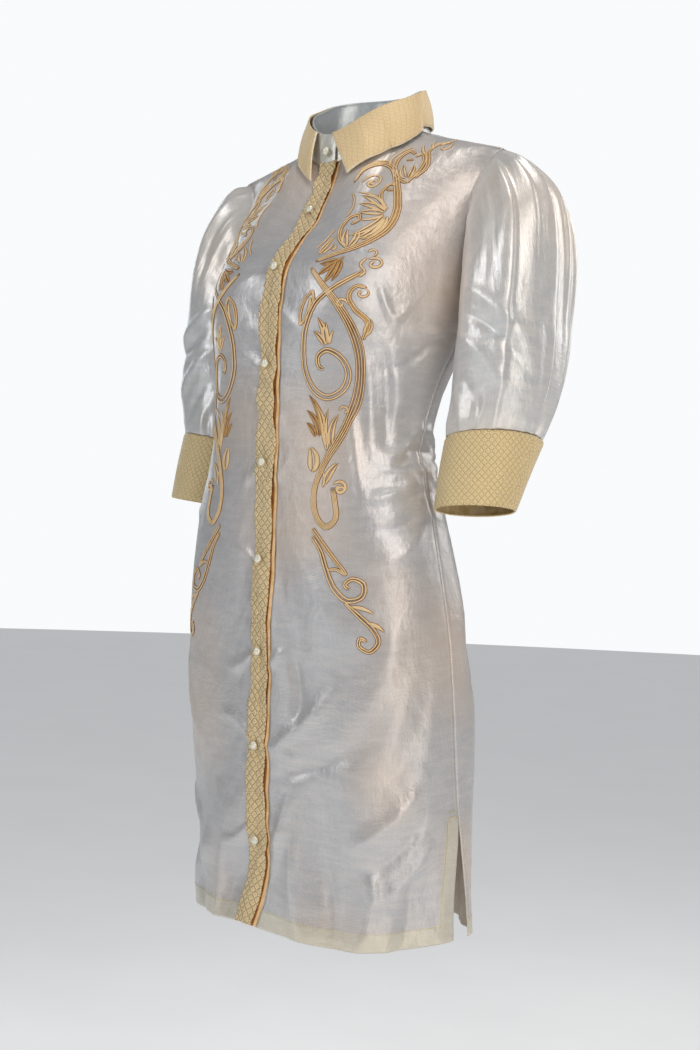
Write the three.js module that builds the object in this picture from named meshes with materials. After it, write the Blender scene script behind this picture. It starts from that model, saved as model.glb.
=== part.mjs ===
// A hand-embroidered barong dress: a collared, button-front dress of satin organza
// with elbow-length sleeves pleated into the armholes and bands of quilted brocade.
// Millimetres, +Z up. +X is the wearer's left and the front faces -Y. The origin is
// where the dress rests on the wearer: between the shoulders, at the base of the neck.
// Every piece of cloth is a wall: a grid of points on its outer face, and the same
// grid moved in by the thickness of the cloth.

import * as THREE from 'three';

// ---- driving sizes ----------------------------------------------------------

const SATIN = 1.5;              // wall of the lined satin organza
const TURNED = 2.4;             // wall where the hem and the slits are turned in
const BROCADE = 2;              // wall of the quilted brocade bands
const SEAM = 0.3;               // space left between two pieces at a seam
const TURNING = 24;             // depth of the turned hem

const NECK_POINT = new THREE.Vector3(66, 3.5, 12);        // shoulder seam at the collar
const SHOULDER_TIP = new THREE.Vector3(188, 7, -27);      // shoulder seam at the armhole
const NECK_DEPTH = 60.5;        // the neckline ring reaches this far forward
const NECK_BACK = 56;           // and this far back
const NECK_TILT = 30.5;         // the ring's centre front lies this far below its sides
const NECK_SAG = 15.5;          // and both centres dip this much more
const NECK_FULL = 26;           // how full its line is between side and centre front
const NECK_SHARE = 0.34;        // share of a half panel's top edge that is neckline

const ARMPIT = -182;            // height of the bottom of the armhole
const HEM = -849;               // height of the hem at the centre lines
const HEM_DROP = { left: 13, right: 4 };  // how much lower each front hem hangs between them
const SLIT_TOP = -722;          // height where the side seams end and the slits begin
const SLIT_SPREAD = 0.045;      // share of a half panel that each slit edge moves back
const SCYE_FRONT = 0.125;       // how deep the front armhole is cut, share of a half panel
const SCYE_BACK = 0.15;

const BAND_HALF = 12.5;         // half the width of the front band
const UNDER_SHOWS = 5.5;        // strip of the under band that shows beside it
const STAND_HEIGHT = 33;
const STAND_FOOT = 1;           // the stand starts this far above the neckline
const CUFF_DROP = 73;

// One row for each level of the body of the dress: half width at the side seam, then
// how far forward the front, side seam and back lie, and how square each half is.
const TORSO = [
  { z: -182, half: 151, front: -139, side: 6, back: 84, squareFront: 2.3, squareBack: 2.2 },
  { z: -230, half: 145, front: -142, side: -6, back: 64, squareFront: 2.3, squareBack: 2.2 },
  { z: -290, half: 134, front: -140, side: -28, back: 34, squareFront: 2.5, squareBack: 2.2 },
  { z: -345, half: 133, front: -138, side: -41, back: 26, squareFront: 2.6, squareBack: 2.2 },
  { z: -415, half: 151, front: -137, side: -40, back: 42, squareFront: 2.8, squareBack: 2.2 },
  { z: -506, half: 166, front: -137, side: -32, back: 68, squareFront: 2.7, squareBack: 2.2 },
  { z: -576, half: 172, front: -134, side: -24, back: 85, squareFront: 2.5, squareBack: 2.2 },
  { z: -640, half: 175, front: -135, side: -17, back: 91, squareFront: 2.3, squareBack: 2.2 },
  { z: -720, half: 173, front: -132, side: -6, back: 90, squareFront: 2.2, squareBack: 2.1 },
  { z: -800, half: 171, front: -129, side: 2, back: 91, squareFront: 2.1, squareBack: 2.1 },
  { z: -870, half: 172, front: -132, side: 8, back: 97, squareFront: 2.1, squareBack: 2.1 },
];

// How the cloth leaves the top edge of each panel: out and down, in millimetres, at
// places between the centre line (0) and the tip of the shoulder (1).
const LEAVING = {
  front: [
    { at: 0, out: 36, down: 120 },
    { at: NECK_SHARE, out: 100, down: 62 },
    { at: 0.7, out: 128, down: 52 },
    { at: 1, out: 12, down: 70 },
  ],
  back: [
    { at: 0, out: 52, down: 110 },
    { at: 0.17, out: 110, down: 80 },
    { at: NECK_SHARE, out: 190, down: 50 },
    { at: 0.7, out: 170, down: 50 },
    { at: 1, out: 12, down: 70 },
  ],
};
const ARRIVING = 235;           // reach of the yoke's lines as they meet the armpit level

// How the centre front wanders on its way down: towards the wearer's left, and inwards.
const SWAY = [
  { z: -36, left: 0, in: 0 },
  { z: -54, left: 4, in: 3 },
  { z: -70, left: 7, in: 7 },
  { z: -86, left: 9, in: 10 },
  { z: -105, left: 11, in: 13 },
  { z: -122, left: 8, in: 10 },
  { z: -140, left: 6.3, in: 5.5 },
  { z: -160, left: 5.2, in: 1.5 },
  { z: -200, left: 4.6, in: 0 },
  { z: -250, left: 4.5, in: 0 },
  { z: -300, left: 2, in: 0 },
  { z: -450, left: 1, in: 0 },
  { z: -735, left: 1.5, in: 0 },
  { z: -766, left: 3.5, in: 0 },
  { z: -790, left: 1, in: 0 },
  { z: -825, left: -3, in: 0 },
  { z: -862, left: -7, in: 0 },
];
const SWAY_WIDTH = 0.42;        // share of a half panel over which it dies away

const BUST = { x: 80, z: -196, width: 50, height: 58, rise: 13 };

// The largest folds of the body. turn runs from the centre line (0) to the side seam
// (1), level is a height, width and depth are millimetres; a negative depth is a trough.
const FOLDS = [
  { panel: 'front', side: 1, turn: 0.62, level: -232, toTurn: 0.93, toLevel: -350, width: 15, depth: 5 },
  { panel: 'front', side: 1, turn: 0.8, level: -300, toTurn: 1.0, toLevel: -362, width: 12, depth: -5 },
  { panel: 'front', side: 1, turn: 0.74, level: -362, toTurn: 1.0, toLevel: -384, width: 13, depth: 5 },
  { panel: 'front', side: 1, turn: 0.45, level: -600, toTurn: 0.62, toLevel: -850, width: 26, depth: 5 },
  { panel: 'front', side: 1, turn: 0.3, level: -690, toTurn: 0.3, toLevel: -862, width: 24, depth: -4 },
  { panel: 'front', side: 1, turn: 0.86, level: -740, toTurn: 0.78, toLevel: -862, width: 20, depth: -5 },
  { panel: 'front', side: -1, turn: 0.6, level: -240, toTurn: 0.9, toLevel: -345, width: 15, depth: 4 },
  { panel: 'front', side: -1, turn: 0.8, level: -352, toTurn: 1.0, toLevel: -388, width: 13, depth: 4 },
  { panel: 'front', side: -1, turn: 0.38, level: -770, toTurn: 0.72, toLevel: -838, width: 17, depth: 5 },
  { panel: 'front', side: -1, turn: 0.62, level: -600, toTurn: 0.6, toLevel: -760, width: 26, depth: -4 },
  { panel: 'back', side: 1, turn: 0.55, level: -318, toTurn: 0.98, toLevel: -372, width: 13, depth: 5 },
  { panel: 'back', side: 1, turn: 0.5, level: -590, toTurn: 0.55, toLevel: -862, width: 26, depth: 5 },
  { panel: 'back', side: -1, turn: 0.5, level: -330, toTurn: 0.95, toLevel: -358, width: 13, depth: 5 },
  { panel: 'back', side: -1, turn: 0.42, level: -620, toTurn: 0.5, toLevel: -862, width: 26, depth: -5 },
];

// One row for each ring of the left sleeve: its centre, the lift of its outer side and
// of its front in degrees, and how far it reaches out, in, forward and back.
const SLEEVE = [
  { at: 0, x: 169, y: 8, z: -106, lift: 76, nose: 0, out: 78, in: 78, fore: 37, aft: 48 },
  { at: 0.1, x: 184, y: 13, z: -114, lift: 64, nose: 1, out: 74, in: 74, fore: 54, aft: 60 },
  { at: 0.22, x: 195, y: 19, z: -130, lift: 50, nose: 2, out: 72, in: 68, fore: 62, aft: 62 },
  { at: 0.36, x: 202, y: 20, z: -160, lift: 34, nose: 3, out: 62, in: 57, fore: 72, aft: 64 },
  { at: 0.52, x: 203, y: 17, z: -204, lift: 16, nose: 5, out: 56, in: 46, fore: 73, aft: 64 },
  { at: 0.68, x: 205, y: 10, z: -246, lift: 10, nose: 7, out: 57, in: 47, fore: 69, aft: 63 },
  { at: 0.84, x: 203, y: 4, z: -291, lift: 9, nose: 8, out: 57, in: 47, fore: 61, aft: 58 },
  { at: 1, x: 199, y: -5, z: -333, lift: 7, nose: 8, out: 52, in: 48, fore: 53, aft: 53 },
];
// The right arm hangs a little nearer the body: by how much its rings differ.
const RIGHT_ARM = { y: 8, out: -1, fore: -5 };
const CUFF_HEM = {
  x: 200, y: -33, z: -333 - CUFF_DROP, lift: 5, nose: 6, out: 44, in: 41, fore: 43, aft: 38,
};
const HEAD_PUFF = 7;            // the right sleeve's head stands this much higher

// Knife pleats of the sleeve head: where each leaves the armhole, in degrees from the
// shoulder seam (front positive), the way it turns by the end, its depth and its length.
const PLEATS = [
  { turn: 8, drift: -6, depth: 4.5, length: 0.5 },
  { turn: 30, drift: 8, depth: 5, length: 0.8 },
  { turn: 52, drift: 12, depth: 3.5, length: 0.45 },
  { turn: -14, drift: -4, depth: 4.5, length: 0.6 },
  { turn: -38, drift: -9, depth: 4.5, length: 0.75 },
];
const PLEAT_ROUND = 13;         // degrees over which the upper layer falls away
const PLEAT_EDGE = 5;           // degrees over which it drops at its folded edge
const HEAD_EASE = 1.2;          // extra space at the shoulder tip, where three pieces meet

// ---- numbers and tables -----------------------------------------------------

const { lerp, smoothstep, degToRad } = THREE.MathUtils;
const clamp01 = (t) => Math.min(1, Math.max(0, t));

// A smooth curve through one column of a table.
function column(rows, place, name) {
  const at = rows.map((row) => row[place]);
  const value = rows.map((row) => row[name]);
  const last = rows.length - 1;
  const slope = value.map((_, i) => {
    const a = Math.max(0, i - 1);
    const b = Math.min(last, i + 1);
    return (value[b] - value[a]) / (at[b] - at[a]);
  });
  const rising = at[last] > at[0];
  return (t) => {
    let i = 0;
    while (i < last - 1 && (rising ? t > at[i + 1] : t < at[i + 1])) i += 1;
    const span = at[i + 1] - at[i];
    const s = clamp01((t - at[i]) / span);
    return value[i] * (1 + 2 * s) * (1 - s) ** 2 + value[i + 1] * s * s * (3 - 2 * s)
      + slope[i] * span * s * (1 - s) ** 2 + slope[i + 1] * span * s * s * (s - 1);
  };
}

function columns(rows, place) {
  const names = Object.keys(rows[0]).filter((name) => name !== place);
  const curves = Object.fromEntries(names.map((name) => [name, column(rows, place, name)]));
  return (t) => Object.fromEntries(names.map((name) => [name, curves[name](t)]));
}

const torsoAt = columns(TORSO, 'z');
const leavingAt = { front: columns(LEAVING.front, 'at'), back: columns(LEAVING.back, 'at') };
const sleeveAt = columns(SLEEVE, 'at');
const swayAt = columns(SWAY, 'z');

const steps = (n) => Array.from({ length: n + 1 }, (_, i) => i / n);

// ---- the body of the dress --------------------------------------------------

// A level section of the body. q runs from the centre line (0) to the side seam (1).
function section(face, q, z) {
  const row = torsoAt(z);
  const depth = face === 'front' ? row.side - row.front : row.back - row.side;
  const square = face === 'front' ? row.squareFront : row.squareBack;
  const turn = q * Math.PI / 2;
  const reach = (Math.abs(Math.cos(turn) / depth) ** square
    + Math.abs(Math.sin(turn) / row.half) ** square) ** (-1 / square);
  const away = face === 'front' ? -1 : 1;
  return new THREE.Vector3(reach * Math.sin(turn), row.side + away * reach * Math.cos(turn), z);
}

// The neckline ring, by its angle from the centre front.
function neckRing(turn) {
  const c = Math.cos(turn);
  const full = c > 0 ? NECK_FULL * c * c * (1 - c * c) : 0;
  return new THREE.Vector3(
    NECK_POINT.x * Math.sin(turn),
    NECK_POINT.y - (c > 0 ? NECK_DEPTH : NECK_BACK) * c,
    NECK_POINT.z - NECK_TILT * c - NECK_SAG * c * c + full,
  );
}

// The top edge of a half panel: neckline, then shoulder seam, which rises to the neck.
function topEdge(face, q) {
  if (q <= NECK_SHARE) {
    const turn = (q / NECK_SHARE) * Math.PI / 2;
    return neckRing(face === 'front' ? turn : Math.PI - turn);
  }
  const s = (q - NECK_SHARE) / (1 - NECK_SHARE);
  const point = NECK_POINT.clone().lerp(SHOULDER_TIP, s);
  point.z -= 5 * Math.sin(Math.PI * Math.sqrt(s));
  return point;
}

// A half panel. down runs from the top edge (0) by the armpit level (1) to the hem (2).
function bodyBase(face, side, q, down) {
  const away = face === 'front' ? -1 : 1;
  if (down >= 1) {
    const dip = side > 0 ? HEM_DROP.left : HEM_DROP.right;
    const drop = face === 'front' ? dip * Math.sin(Math.PI * clamp01(q * 0.92)) : 4 * q;
    return section(face, q, lerp(ARMPIT, HEM - drop, down - 1));
  }
  const top = topEdge(face, q);
  const foot = section(face, q, ARMPIT);
  const below = section(face, q, ARMPIT - 1);
  const leave = leavingAt[face](q);
  const s = down;
  return new THREE.Vector3()
    .addScaledVector(top, (1 + 2 * s) * (1 - s) ** 2)
    .addScaledVector(foot, s * s * (3 - 2 * s))
    .addScaledVector(new THREE.Vector3(0, away * leave.out, -leave.down), s * (1 - s) ** 2)
    .addScaledVector(below.sub(foot).multiplyScalar(ARRIVING), s * s * (s - 1));
}

function normalOf(surface, u, v, step = 0.002) {
  const along = surface(u + step, v).sub(surface(u - step, v));
  const down = surface(u, v + step).sub(surface(u, v - step));
  return along.cross(down).normalize();
}

// How far the bust and the folds stand out, at one point of a half panel.
function relief(face, side, q, point) {
  let out = 0;
  if (face === 'front') {
    const dx = (point.x - BUST.x) / BUST.width;
    const dz = (point.z - BUST.z) / BUST.height;
    out += BUST.rise * Math.exp(-dx * dx - dz * dz);
  }
  for (const fold of FOLDS) {
    if (fold.panel !== face || fold.side !== side) continue;
    const around = 245;
    const run = new THREE.Vector2((fold.toTurn - fold.turn) * around, fold.toLevel - fold.level);
    const here = new THREE.Vector2((q - fold.turn) * around, point.z - fold.level);
    const s = here.dot(run) / run.lengthSq();
    const off = here.addScaledVector(run, -clamp01(s)).length() / fold.width;
    const ends = smoothstep(s, -0.15, 0.3) * (1 - smoothstep(s, 0.75, 1.15));
    const free = fold.toLevel < HEM ? smoothstep(s, -0.15, 0.6) : ends;
    out += fold.depth * free * Math.exp(-off * off);
  }
  return out;
}

// The outer face of the body: face front or back, side +1 (wearer's left) or -1.
function body(face, side, q, down, lift = 0) {
  const base = (a, b) => bodyBase(face, side, a, b);
  const turn = Math.min(Math.max(q, 0.004), 0.996);
  const drop = Math.min(Math.max(down, 0.004), 1.996);
  const normal = normalOf(base, turn, drop).multiplyScalar(face === 'front' ? -1 : 1);
  normal.lerp(new THREE.Vector3(0, 0, 1), (1 - smoothstep(down, 0, 0.12)) * smoothstep(q, 0.2, 0.4));
  normal.normalize();
  const point = base(q, down);
  const sway = swayAt(point.z);
  const share = 1 - smoothstep(q, 0.02, SWAY_WIDTH);
  point.addScaledVector(normal, relief(face, side, q, point) + lift);
  point.x *= side;
  if (face === 'front') {
    point.x += sway.left * share;
    point.y += sway.in * share;
  }
  return point;
}

// How far the armhole is cut into a half panel at a given place between tip and armpit.
function armhole(face, down) {
  if (down >= 1) return 1;
  const deep = face === 'front' ? SCYE_FRONT : SCYE_BACK;
  return 1 - deep * Math.sin(Math.PI * clamp01(down) ** 1.3) ** 0.6;
}

// The outer edge of a half panel: armhole, side seam, then slit.
function outerEdge(face, down) {
  const z = bodyBase(face, 1, 0.99, down).z;
  const slit = smoothstep(-z, -SLIT_TOP - 10, -HEM) * SLIT_SPREAD;
  return armhole(face, down) - slit - 0.0007;
}

// The share of a half panel that a distance from the centre line takes up.
function shareOf(distance, face, down) {
  const one = bodyBase(face, 1, 0.02, down).distanceTo(bodyBase(face, 1, 0, down));
  return 0.02 * distance / one;
}

// The wall is thicker where the hem and the slit edges are turned in.
function wallAt(face, side, q, down) {
  const point = bodyBase(face, side, q, down);
  const hem = smoothstep(-point.z, -HEM - TURNING - 6, -HEM - TURNING + 2);
  return lerp(SATIN, TURNED, hem);
}

// ---- walls ------------------------------------------------------------------

// A closed body between an outer and an inner grid of points. A tube joins its ends.
function wall(outer, inner, tube = false) {
  const rows = outer.length;
  const cols = outer[0].length;
  const points = [...outer.flat(), ...inner.flat()];
  const out = (i, j) => i * cols + (j % cols);
  const inn = (i, j) => rows * cols + out(i, j);
  const faces = [];
  const quad = (a, b, c, d) => faces.push(a, b, c, a, c, d);
  const across = tube ? cols : cols - 1;
  for (let i = 0; i < rows - 1; i += 1) {
    for (let j = 0; j < across; j += 1) {
      quad(out(i, j), out(i + 1, j), out(i + 1, j + 1), out(i, j + 1));
      quad(inn(i, j), inn(i, j + 1), inn(i + 1, j + 1), inn(i + 1, j));
    }
  }
  for (let j = 0; j < across; j += 1) {
    quad(out(0, j), out(0, j + 1), inn(0, j + 1), inn(0, j));
    quad(out(rows - 1, j), inn(rows - 1, j), inn(rows - 1, j + 1), out(rows - 1, j + 1));
  }
  for (let i = 0; i < rows - 1 && !tube; i += 1) {
    quad(out(i, 0), inn(i, 0), inn(i + 1, 0), out(i + 1, 0));
    quad(out(i, cols - 1), out(i + 1, cols - 1), inn(i + 1, cols - 1), inn(i, cols - 1));
  }
  return solid(points, faces);
}

// A geometry whose faces point out of the body, whichever way its grid ran.
function solid(points, faces) {
  let volume = 0;
  for (let i = 0; i < faces.length; i += 3) {
    const [a, b, c] = [points[faces[i]], points[faces[i + 1]], points[faces[i + 2]]];
    volume += a.dot(b.clone().cross(c));
  }
  if (volume < 0) faces.reverse();
  const geometry = new THREE.BufferGeometry().setFromPoints(points);
  geometry.setIndex(faces);
  geometry.computeVertexNormals();
  return geometry;
}

// ---- panels, bands and placket ----------------------------------------------

const YOKE_ROWS = [0, 0.09, 0.2, 0.32, 0.45, 0.58, 0.7, 0.81, 0.9, 0.96, 1];
const SKIRT_ROWS = steps(13).slice(1).map((s) => 1 + s);
const FRONT_ROWS = [0.001, ...YOKE_ROWS.slice(1), ...SKIRT_ROWS];

function frontPanel(side, edge) {
  const grid = (lift) => FRONT_ROWS.map((down) => {
    const from = shareOf(edge, 'front', down);
    const to = outerEdge('front', down);
    return steps(11).map((s) => {
      const q = lerp(from, to, s);
      return body('front', side, q, down, lift * wallAt('front', side, q, down));
    });
  });
  return wall(grid(0), grid(-1));
}

function backPanel() {
  const grid = (lift) => FRONT_ROWS.map((down) => {
    const to = outerEdge('back', down);
    return steps(20).map((s) => {
      const q = Math.abs(2 * s - 1) * to;
      return body('back', s < 0.5 ? -1 : 1, q, down, lift * wallAt('back', 1, q, down));
    });
  });
  return wall(grid(0), grid(-1));
}

const STRIP_ROWS = [0.02, ...FRONT_ROWS.slice(1)];

// A strip along the centre front, between two distances from it (wearer's left positive).
function frontStrip(from, to, inside, outside) {
  const grid = (lift) => STRIP_ROWS.map((down) => [from, 0, to].map((x) => {
    const side = x < 0 ? -1 : 1;
    return body('front', side, shareOf(Math.abs(x), 'front', down), down, lift);
  }));
  return wall(grid(outside), grid(inside));
}

// ---- collar -----------------------------------------------------------------

const RIGHT_END = degToRad(369);    // the stand starts under the right front end of itself
const LEFT_END = degToRad(-9);
const CROSS_OVER = BROCADE + SEAM;

// The stand, by the angle from the centre front towards the wearer's left, and height.
function standPoint(turn, up, lift) {
  const over = smoothstep(turn, degToRad(300), degToRad(348)) * CROSS_OVER;
  const point = neckRing(turn);
  const outward = new THREE.Vector3(point.x, point.y - NECK_POINT.y, 0).normalize();
  point.addScaledVector(outward, over + lift - 2.5 * up);
  point.z += lerp(STAND_FOOT, STAND_HEIGHT, up);
  return point;
}

function collarStand() {
  const grid = (lift) => steps(2).map((up) => steps(34).map((s) => (
    standPoint(lerp(LEFT_END, RIGHT_END, s), up, lift))));
  return wall(grid(0), grid(-BROCADE));
}

// The leaf hangs from the top of the stand, and its lower edge lies on the panels. s runs
// from the right tip by the centre back to the left tip, q is the place across a half
// panel (left positive) and reach the place down it, less than 0 where it is the back.
const LEAF_EDGE = [
  { s: 0, q: -0.055, reach: 0.235 },
  { s: 0.12, q: -0.14, reach: 0.18 },
  { s: 0.19, q: -0.28, reach: 0.075 },
  { s: 0.24, q: -0.38, reach: 0.01 },
  { s: 0.29, q: -0.28, reach: -0.08 },
  { s: 0.39, q: -0.12, reach: -0.08 },
  { s: 0.482, q: 0, reach: -0.08 },
  { s: 0.58, q: 0.11, reach: -0.075 },
  { s: 0.67, q: 0.2, reach: -0.075 },
  { s: 0.72, q: 0.37, reach: 0 },
  { s: 0.77, q: 0.42, reach: 0.1 },
  { s: 0.83, q: 0.39, reach: 0.225 },
  { s: 0.88, q: 0.33, reach: 0.3 },
  { s: 1, q: 0.155, reach: 0.34 },
];

const LEAF_LIFT = 3.4;              // clear space between the leaf's edge and the panels
const LEAF_ROLL = 2.6;              // how far the fold stands outside the stand
const LEAF_BOW = 2.5;               // how far the leaf bows out on its way down

const leafEdgeAt = columns(LEAF_EDGE, 's');

function leafFoot(s) {
  const { q, reach } = leafEdgeAt(s);
  return body(reach < 0 ? 'back' : 'front', q < 0 ? -1 : 1, Math.abs(q), Math.abs(reach), LEAF_LIFT);
}

function leafPoint(s, fall, lift) {
  const turn = lerp(degToRad(-15.5), degToRad(-357), s);
  const top = standPoint(((turn % (2 * Math.PI)) + 2 * Math.PI) % (2 * Math.PI), 1, LEAF_ROLL);
  const foot = leafFoot(s);
  const point = top.clone().lerp(foot, fall);
  const outward = new THREE.Vector3(point.x, point.y - NECK_POINT.y, 0).normalize();
  outward.z = 0.25 + 0.35 * fall;
  outward.normalize();
  return point.addScaledVector(outward, lift + LEAF_BOW * Math.sin(Math.PI * fall));
}

function collarLeaf() {
  const grid = (lift) => steps(3).map((fall) => steps(32).map((s) => leafPoint(s, fall, lift)));
  return wall(grid(BROCADE), grid(0));
}

// ---- sleeves ----------------------------------------------------------------

const ROUND = 28;                   // points round a sleeve, closer together at its head
const sleeveTurns = steps(ROUND).slice(0, ROUND).map((s) => {
  const turn = 2 * Math.PI * s;
  return turn - 0.42 * Math.sin(turn);
});
const SLEEVE_ROWS = [0, 0.05, 0.1, 0.16, 0.23, 0.31, 0.4, 0.5, 0.61, 0.73, 0.86, 1];

function ringPoint(ring, turn) {
  const lift = degToRad(ring.lift);
  const nose = degToRad(ring.nose);
  const c = Math.cos(turn);
  const s = Math.sin(turn);
  const outward = new THREE.Vector3(Math.cos(lift), 0, Math.sin(lift));
  const forward = new THREE.Vector3(0, -Math.cos(nose), Math.sin(nose));
  return new THREE.Vector3(ring.x, ring.y, ring.z)
    .addScaledVector(outward, c * (c > 0 ? ring.out : ring.in))
    .addScaledVector(forward, s * (s > 0 ? ring.fore : ring.aft));
}

// The edge of the armhole, by the same angle: shoulder tip 0, armpit half a turn.
function armholePoint(turn) {
  const face = Math.sin(turn) >= 0 ? 'front' : 'back';
  const down = Math.min(0.999, Math.max(0.001, (1 - Math.cos(turn)) / 2));
  const q = armhole(face, down);
  const point = body(face, 1, q, down, 0.2);
  const ahead = body(face, 1, Math.min(1, q + 0.01), down, 0.2);
  const away = ahead.sub(body(face, 1, q - 0.01, down, 0.2)).normalize();
  const past = Math.cos(turn) > 0 ? new THREE.Vector3(1, 0, 0) : new THREE.Vector3(0, 0, 1);
  away.lerp(past, Math.cos(turn) ** 2).normalize();
  return point.addScaledVector(away, SEAM + 0.1 + HEAD_EASE * Math.max(0, Math.cos(turn)) ** 4);
}

function pleats(turn, at) {
  let out = 0;
  for (const pleat of PLEATS) {
    const centre = degToRad(pleat.turn + pleat.drift * at);
    let off = turn - centre;
    off -= 2 * Math.PI * Math.round(off / (2 * Math.PI));
    const away = off * Math.sign(pleat.turn);
    const width = degToRad(away > 0 ? PLEAT_ROUND : PLEAT_EDGE);
    const fade = smoothstep(at, 0, 0.1) * (1 - smoothstep(at, pleat.length * 0.5, pleat.length + 0.2));
    out += pleat.depth * fade * Math.exp(-((off / width) ** 2));
  }
  return out;
}

// The ring of one sleeve, or of its cuff when at is past 1.
function ringAt(side, at) {
  const ring = sleeveAt(Math.min(at, 1));
  if (at > 1) {
    for (const name of Object.keys(ring)) ring[name] = lerp(ring[name], CUFF_HEM[name], at - 1);
  }
  if (side < 0) {
    const share = smoothstep(at, 0, 0.3) * (1 - 0.55 * smoothstep(at, 0.6, 1));
    for (const name of Object.keys(RIGHT_ARM)) ring[name] += RIGHT_ARM[name] * share;
  }
  return ring;
}

function sleeveBase(side, turn, at) {
  const point = ringPoint(ringAt(side, at), turn);
  const fade = 1 - smoothstep(at, 0, 0.26);
  if (fade > 0) {
    const seam = armholePoint(((turn % (2 * Math.PI)) + 2 * Math.PI) % (2 * Math.PI));
    point.addScaledVector(seam.sub(ringPoint(sleeveAt(0), turn)), fade);
  }
  return point;
}

function sleevePoint(side, turn, at, lift) {
  const here = Math.min(Math.max(at, 0.012), 0.99);
  const base = (a, b) => sleeveBase(side, a, b);
  const normal = normalOf(base, turn, here, 0.01);
  const point = base(turn, at);
  const centre = new THREE.Vector3().copy(ringAt(side, at));
  if (normal.dot(point.clone().sub(centre)) < 0) normal.negate();
  const head = Math.max(0, Math.cos(turn)) ** 4 * (1 - smoothstep(at, 0, 0.08));
  normal.lerp(new THREE.Vector3(0, 0, 1), head).normalize();
  const puff = side < 0 ? HEAD_PUFF * Math.max(0, Math.cos(turn)) ** 2 : 0;
  const rise = smoothstep(at, 0, 0.07) * (1 - smoothstep(at, 0.12, 0.45));
  point.addScaledVector(normal, pleats(turn, at) + puff * rise + lift);
  point.x *= side;
  return point;
}

function sleeve(side) {
  const grid = (lift) => SLEEVE_ROWS.map((at) => (
    sleeveTurns.map((turn) => sleevePoint(side, turn, at, lift))));
  return wall(grid(0), grid(-SATIN), true);
}

function cuff(side) {
  const grid = (lift) => steps(2).map((down) => sleeveTurns.map((turn) => {
    const ring = ringAt(side, 1 + down);
    for (const reach of ['out', 'in', 'fore', 'aft']) ring[reach] += lift;
    ring.z -= SEAM + 0.1;
    const point = ringPoint(ring, turn);
    point.x *= side;
    return point;
  }));
  return wall(grid(0.6), grid(0.6 - BROCADE), true);
}

// ---- buttons ----------------------------------------------------------------

const BUTTON = { radius: 4.6, height: 6.2, shank: 1.5, gap: 0.45, foot: 1.6 };
const BUTTON_LEVELS = [-94, -158, -259, -362, -464, -561, -660, -760];

function buttonGeometry() {
  const profile = [new THREE.Vector2(0, BUTTON.gap), new THREE.Vector2(BUTTON.shank, BUTTON.gap)];
  const rise = BUTTON.height - BUTTON.foot;
  for (const s of steps(4)) {
    const turn = lerp(-0.36, 0.5, s) * Math.PI;
    profile.push(new THREE.Vector2(
      s === 1 ? 0 : BUTTON.radius * Math.cos(turn),
      BUTTON.foot + rise / 2 + rise / 2 * Math.sin(turn),
    ));
  }
  return new THREE.LatheGeometry(profile, 8);
}

// The middle of the front band's face at a height, and a point straight out from it.
function bandFace(z) {
  const line = (lift) => STRIP_ROWS.map((down) => body('front', 1, 0, down, SEAM + BROCADE + lift));
  const [face, out] = [line(0), line(BUTTON.height)];
  const i = face.findIndex((point) => point.z < z);
  const s = (z - face[i - 1].z) / (face[i].z - face[i - 1].z);
  return [face[i - 1].clone().lerp(face[i], s), out[i - 1].clone().lerp(out[i], s)];
}

function placeButton(mesh, foot, tip) {
  const axis = tip.clone().sub(foot).normalize();
  mesh.quaternion.setFromUnitVectors(new THREE.Vector3(0, 1, 0), axis);
  mesh.position.copy(foot);
  return mesh;
}

// ---- materials and assembly -------------------------------------------------

const satin = (color) => new THREE.MeshStandardMaterial({ color, roughness: 0.38, metalness: 0.05 });
const brocade = (color) => new THREE.MeshStandardMaterial({ color, roughness: 0.55, metalness: 0.1 });
const pearl = () => new THREE.MeshStandardMaterial({ color: 0xe9e6d6, roughness: 0.2, metalness: 0.05 });

const dress = new THREE.Group();

function add(name, geometry, material) {
  const mesh = new THREE.Mesh(geometry, material);
  mesh.name = name;
  dress.add(mesh);
  return mesh;
}

const UNDER_EDGE = BAND_HALF + UNDER_SHOWS;
const TUCK = 2.5;                   // the right front reaches this far under the band

add('front_right', frontPanel(-1, BAND_HALF - TUCK), satin(0xc9c5c2));
add('front_left', frontPanel(1, UNDER_EDGE + SEAM), satin(0xc9c5c2));
add('back', backPanel(), satin(0xc9c5c2));
add('placket', frontStrip(-BAND_HALF, BAND_HALF, SEAM + 0.1, SEAM + BROCADE), brocade(0xd0bf88));
add('under_placket', frontStrip(-BAND_HALF + TUCK + 2 * SEAM, UNDER_EDGE, -BROCADE, 0), brocade(0xc9b77e));
add('collar_stand', collarStand(), satin(0xcfcfc4));
add('collar_leaf', collarLeaf(), brocade(0xe2c795));
for (const [name, side] of [['right', -1], ['left', 1]]) {
  add(`sleeve_${name}`, sleeve(side), satin(0xc6c6c8));
  add(`cuff_${name}`, cuff(side), brocade(0xdcc38e));
}

const standFoot = standPoint(2 * Math.PI, 0.42, 0);
placeButton(add('button_collar', buttonGeometry(), pearl()), standFoot, standPoint(2 * Math.PI, 0.42, 5));
BUTTON_LEVELS.forEach((z, i) => {
  placeButton(add(`button_${i + 1}`, buttonGeometry(), pearl()), ...bandFace(z));
});

export default dress;
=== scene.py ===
"""A hand-embroidered barong dress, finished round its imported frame.

Forms are worked out in millimetres in the frame's own axes (+Z up, +X the wearer's left,
the front facing -Y) and scaled to metres as each piece is made. The fronts and the back
are followed by two numbers: q, from the centre line (0) to the side seam (1), and down,
from the top edge (0) by the armpit level (1) to the hem (2). On a front or a back,
"across" is q times a half panel's width, and "level" is a height.
"""

import math
from functools import partial

import bmesh
import bpy
import numpy as np
from mathutils import Matrix, Vector


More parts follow.
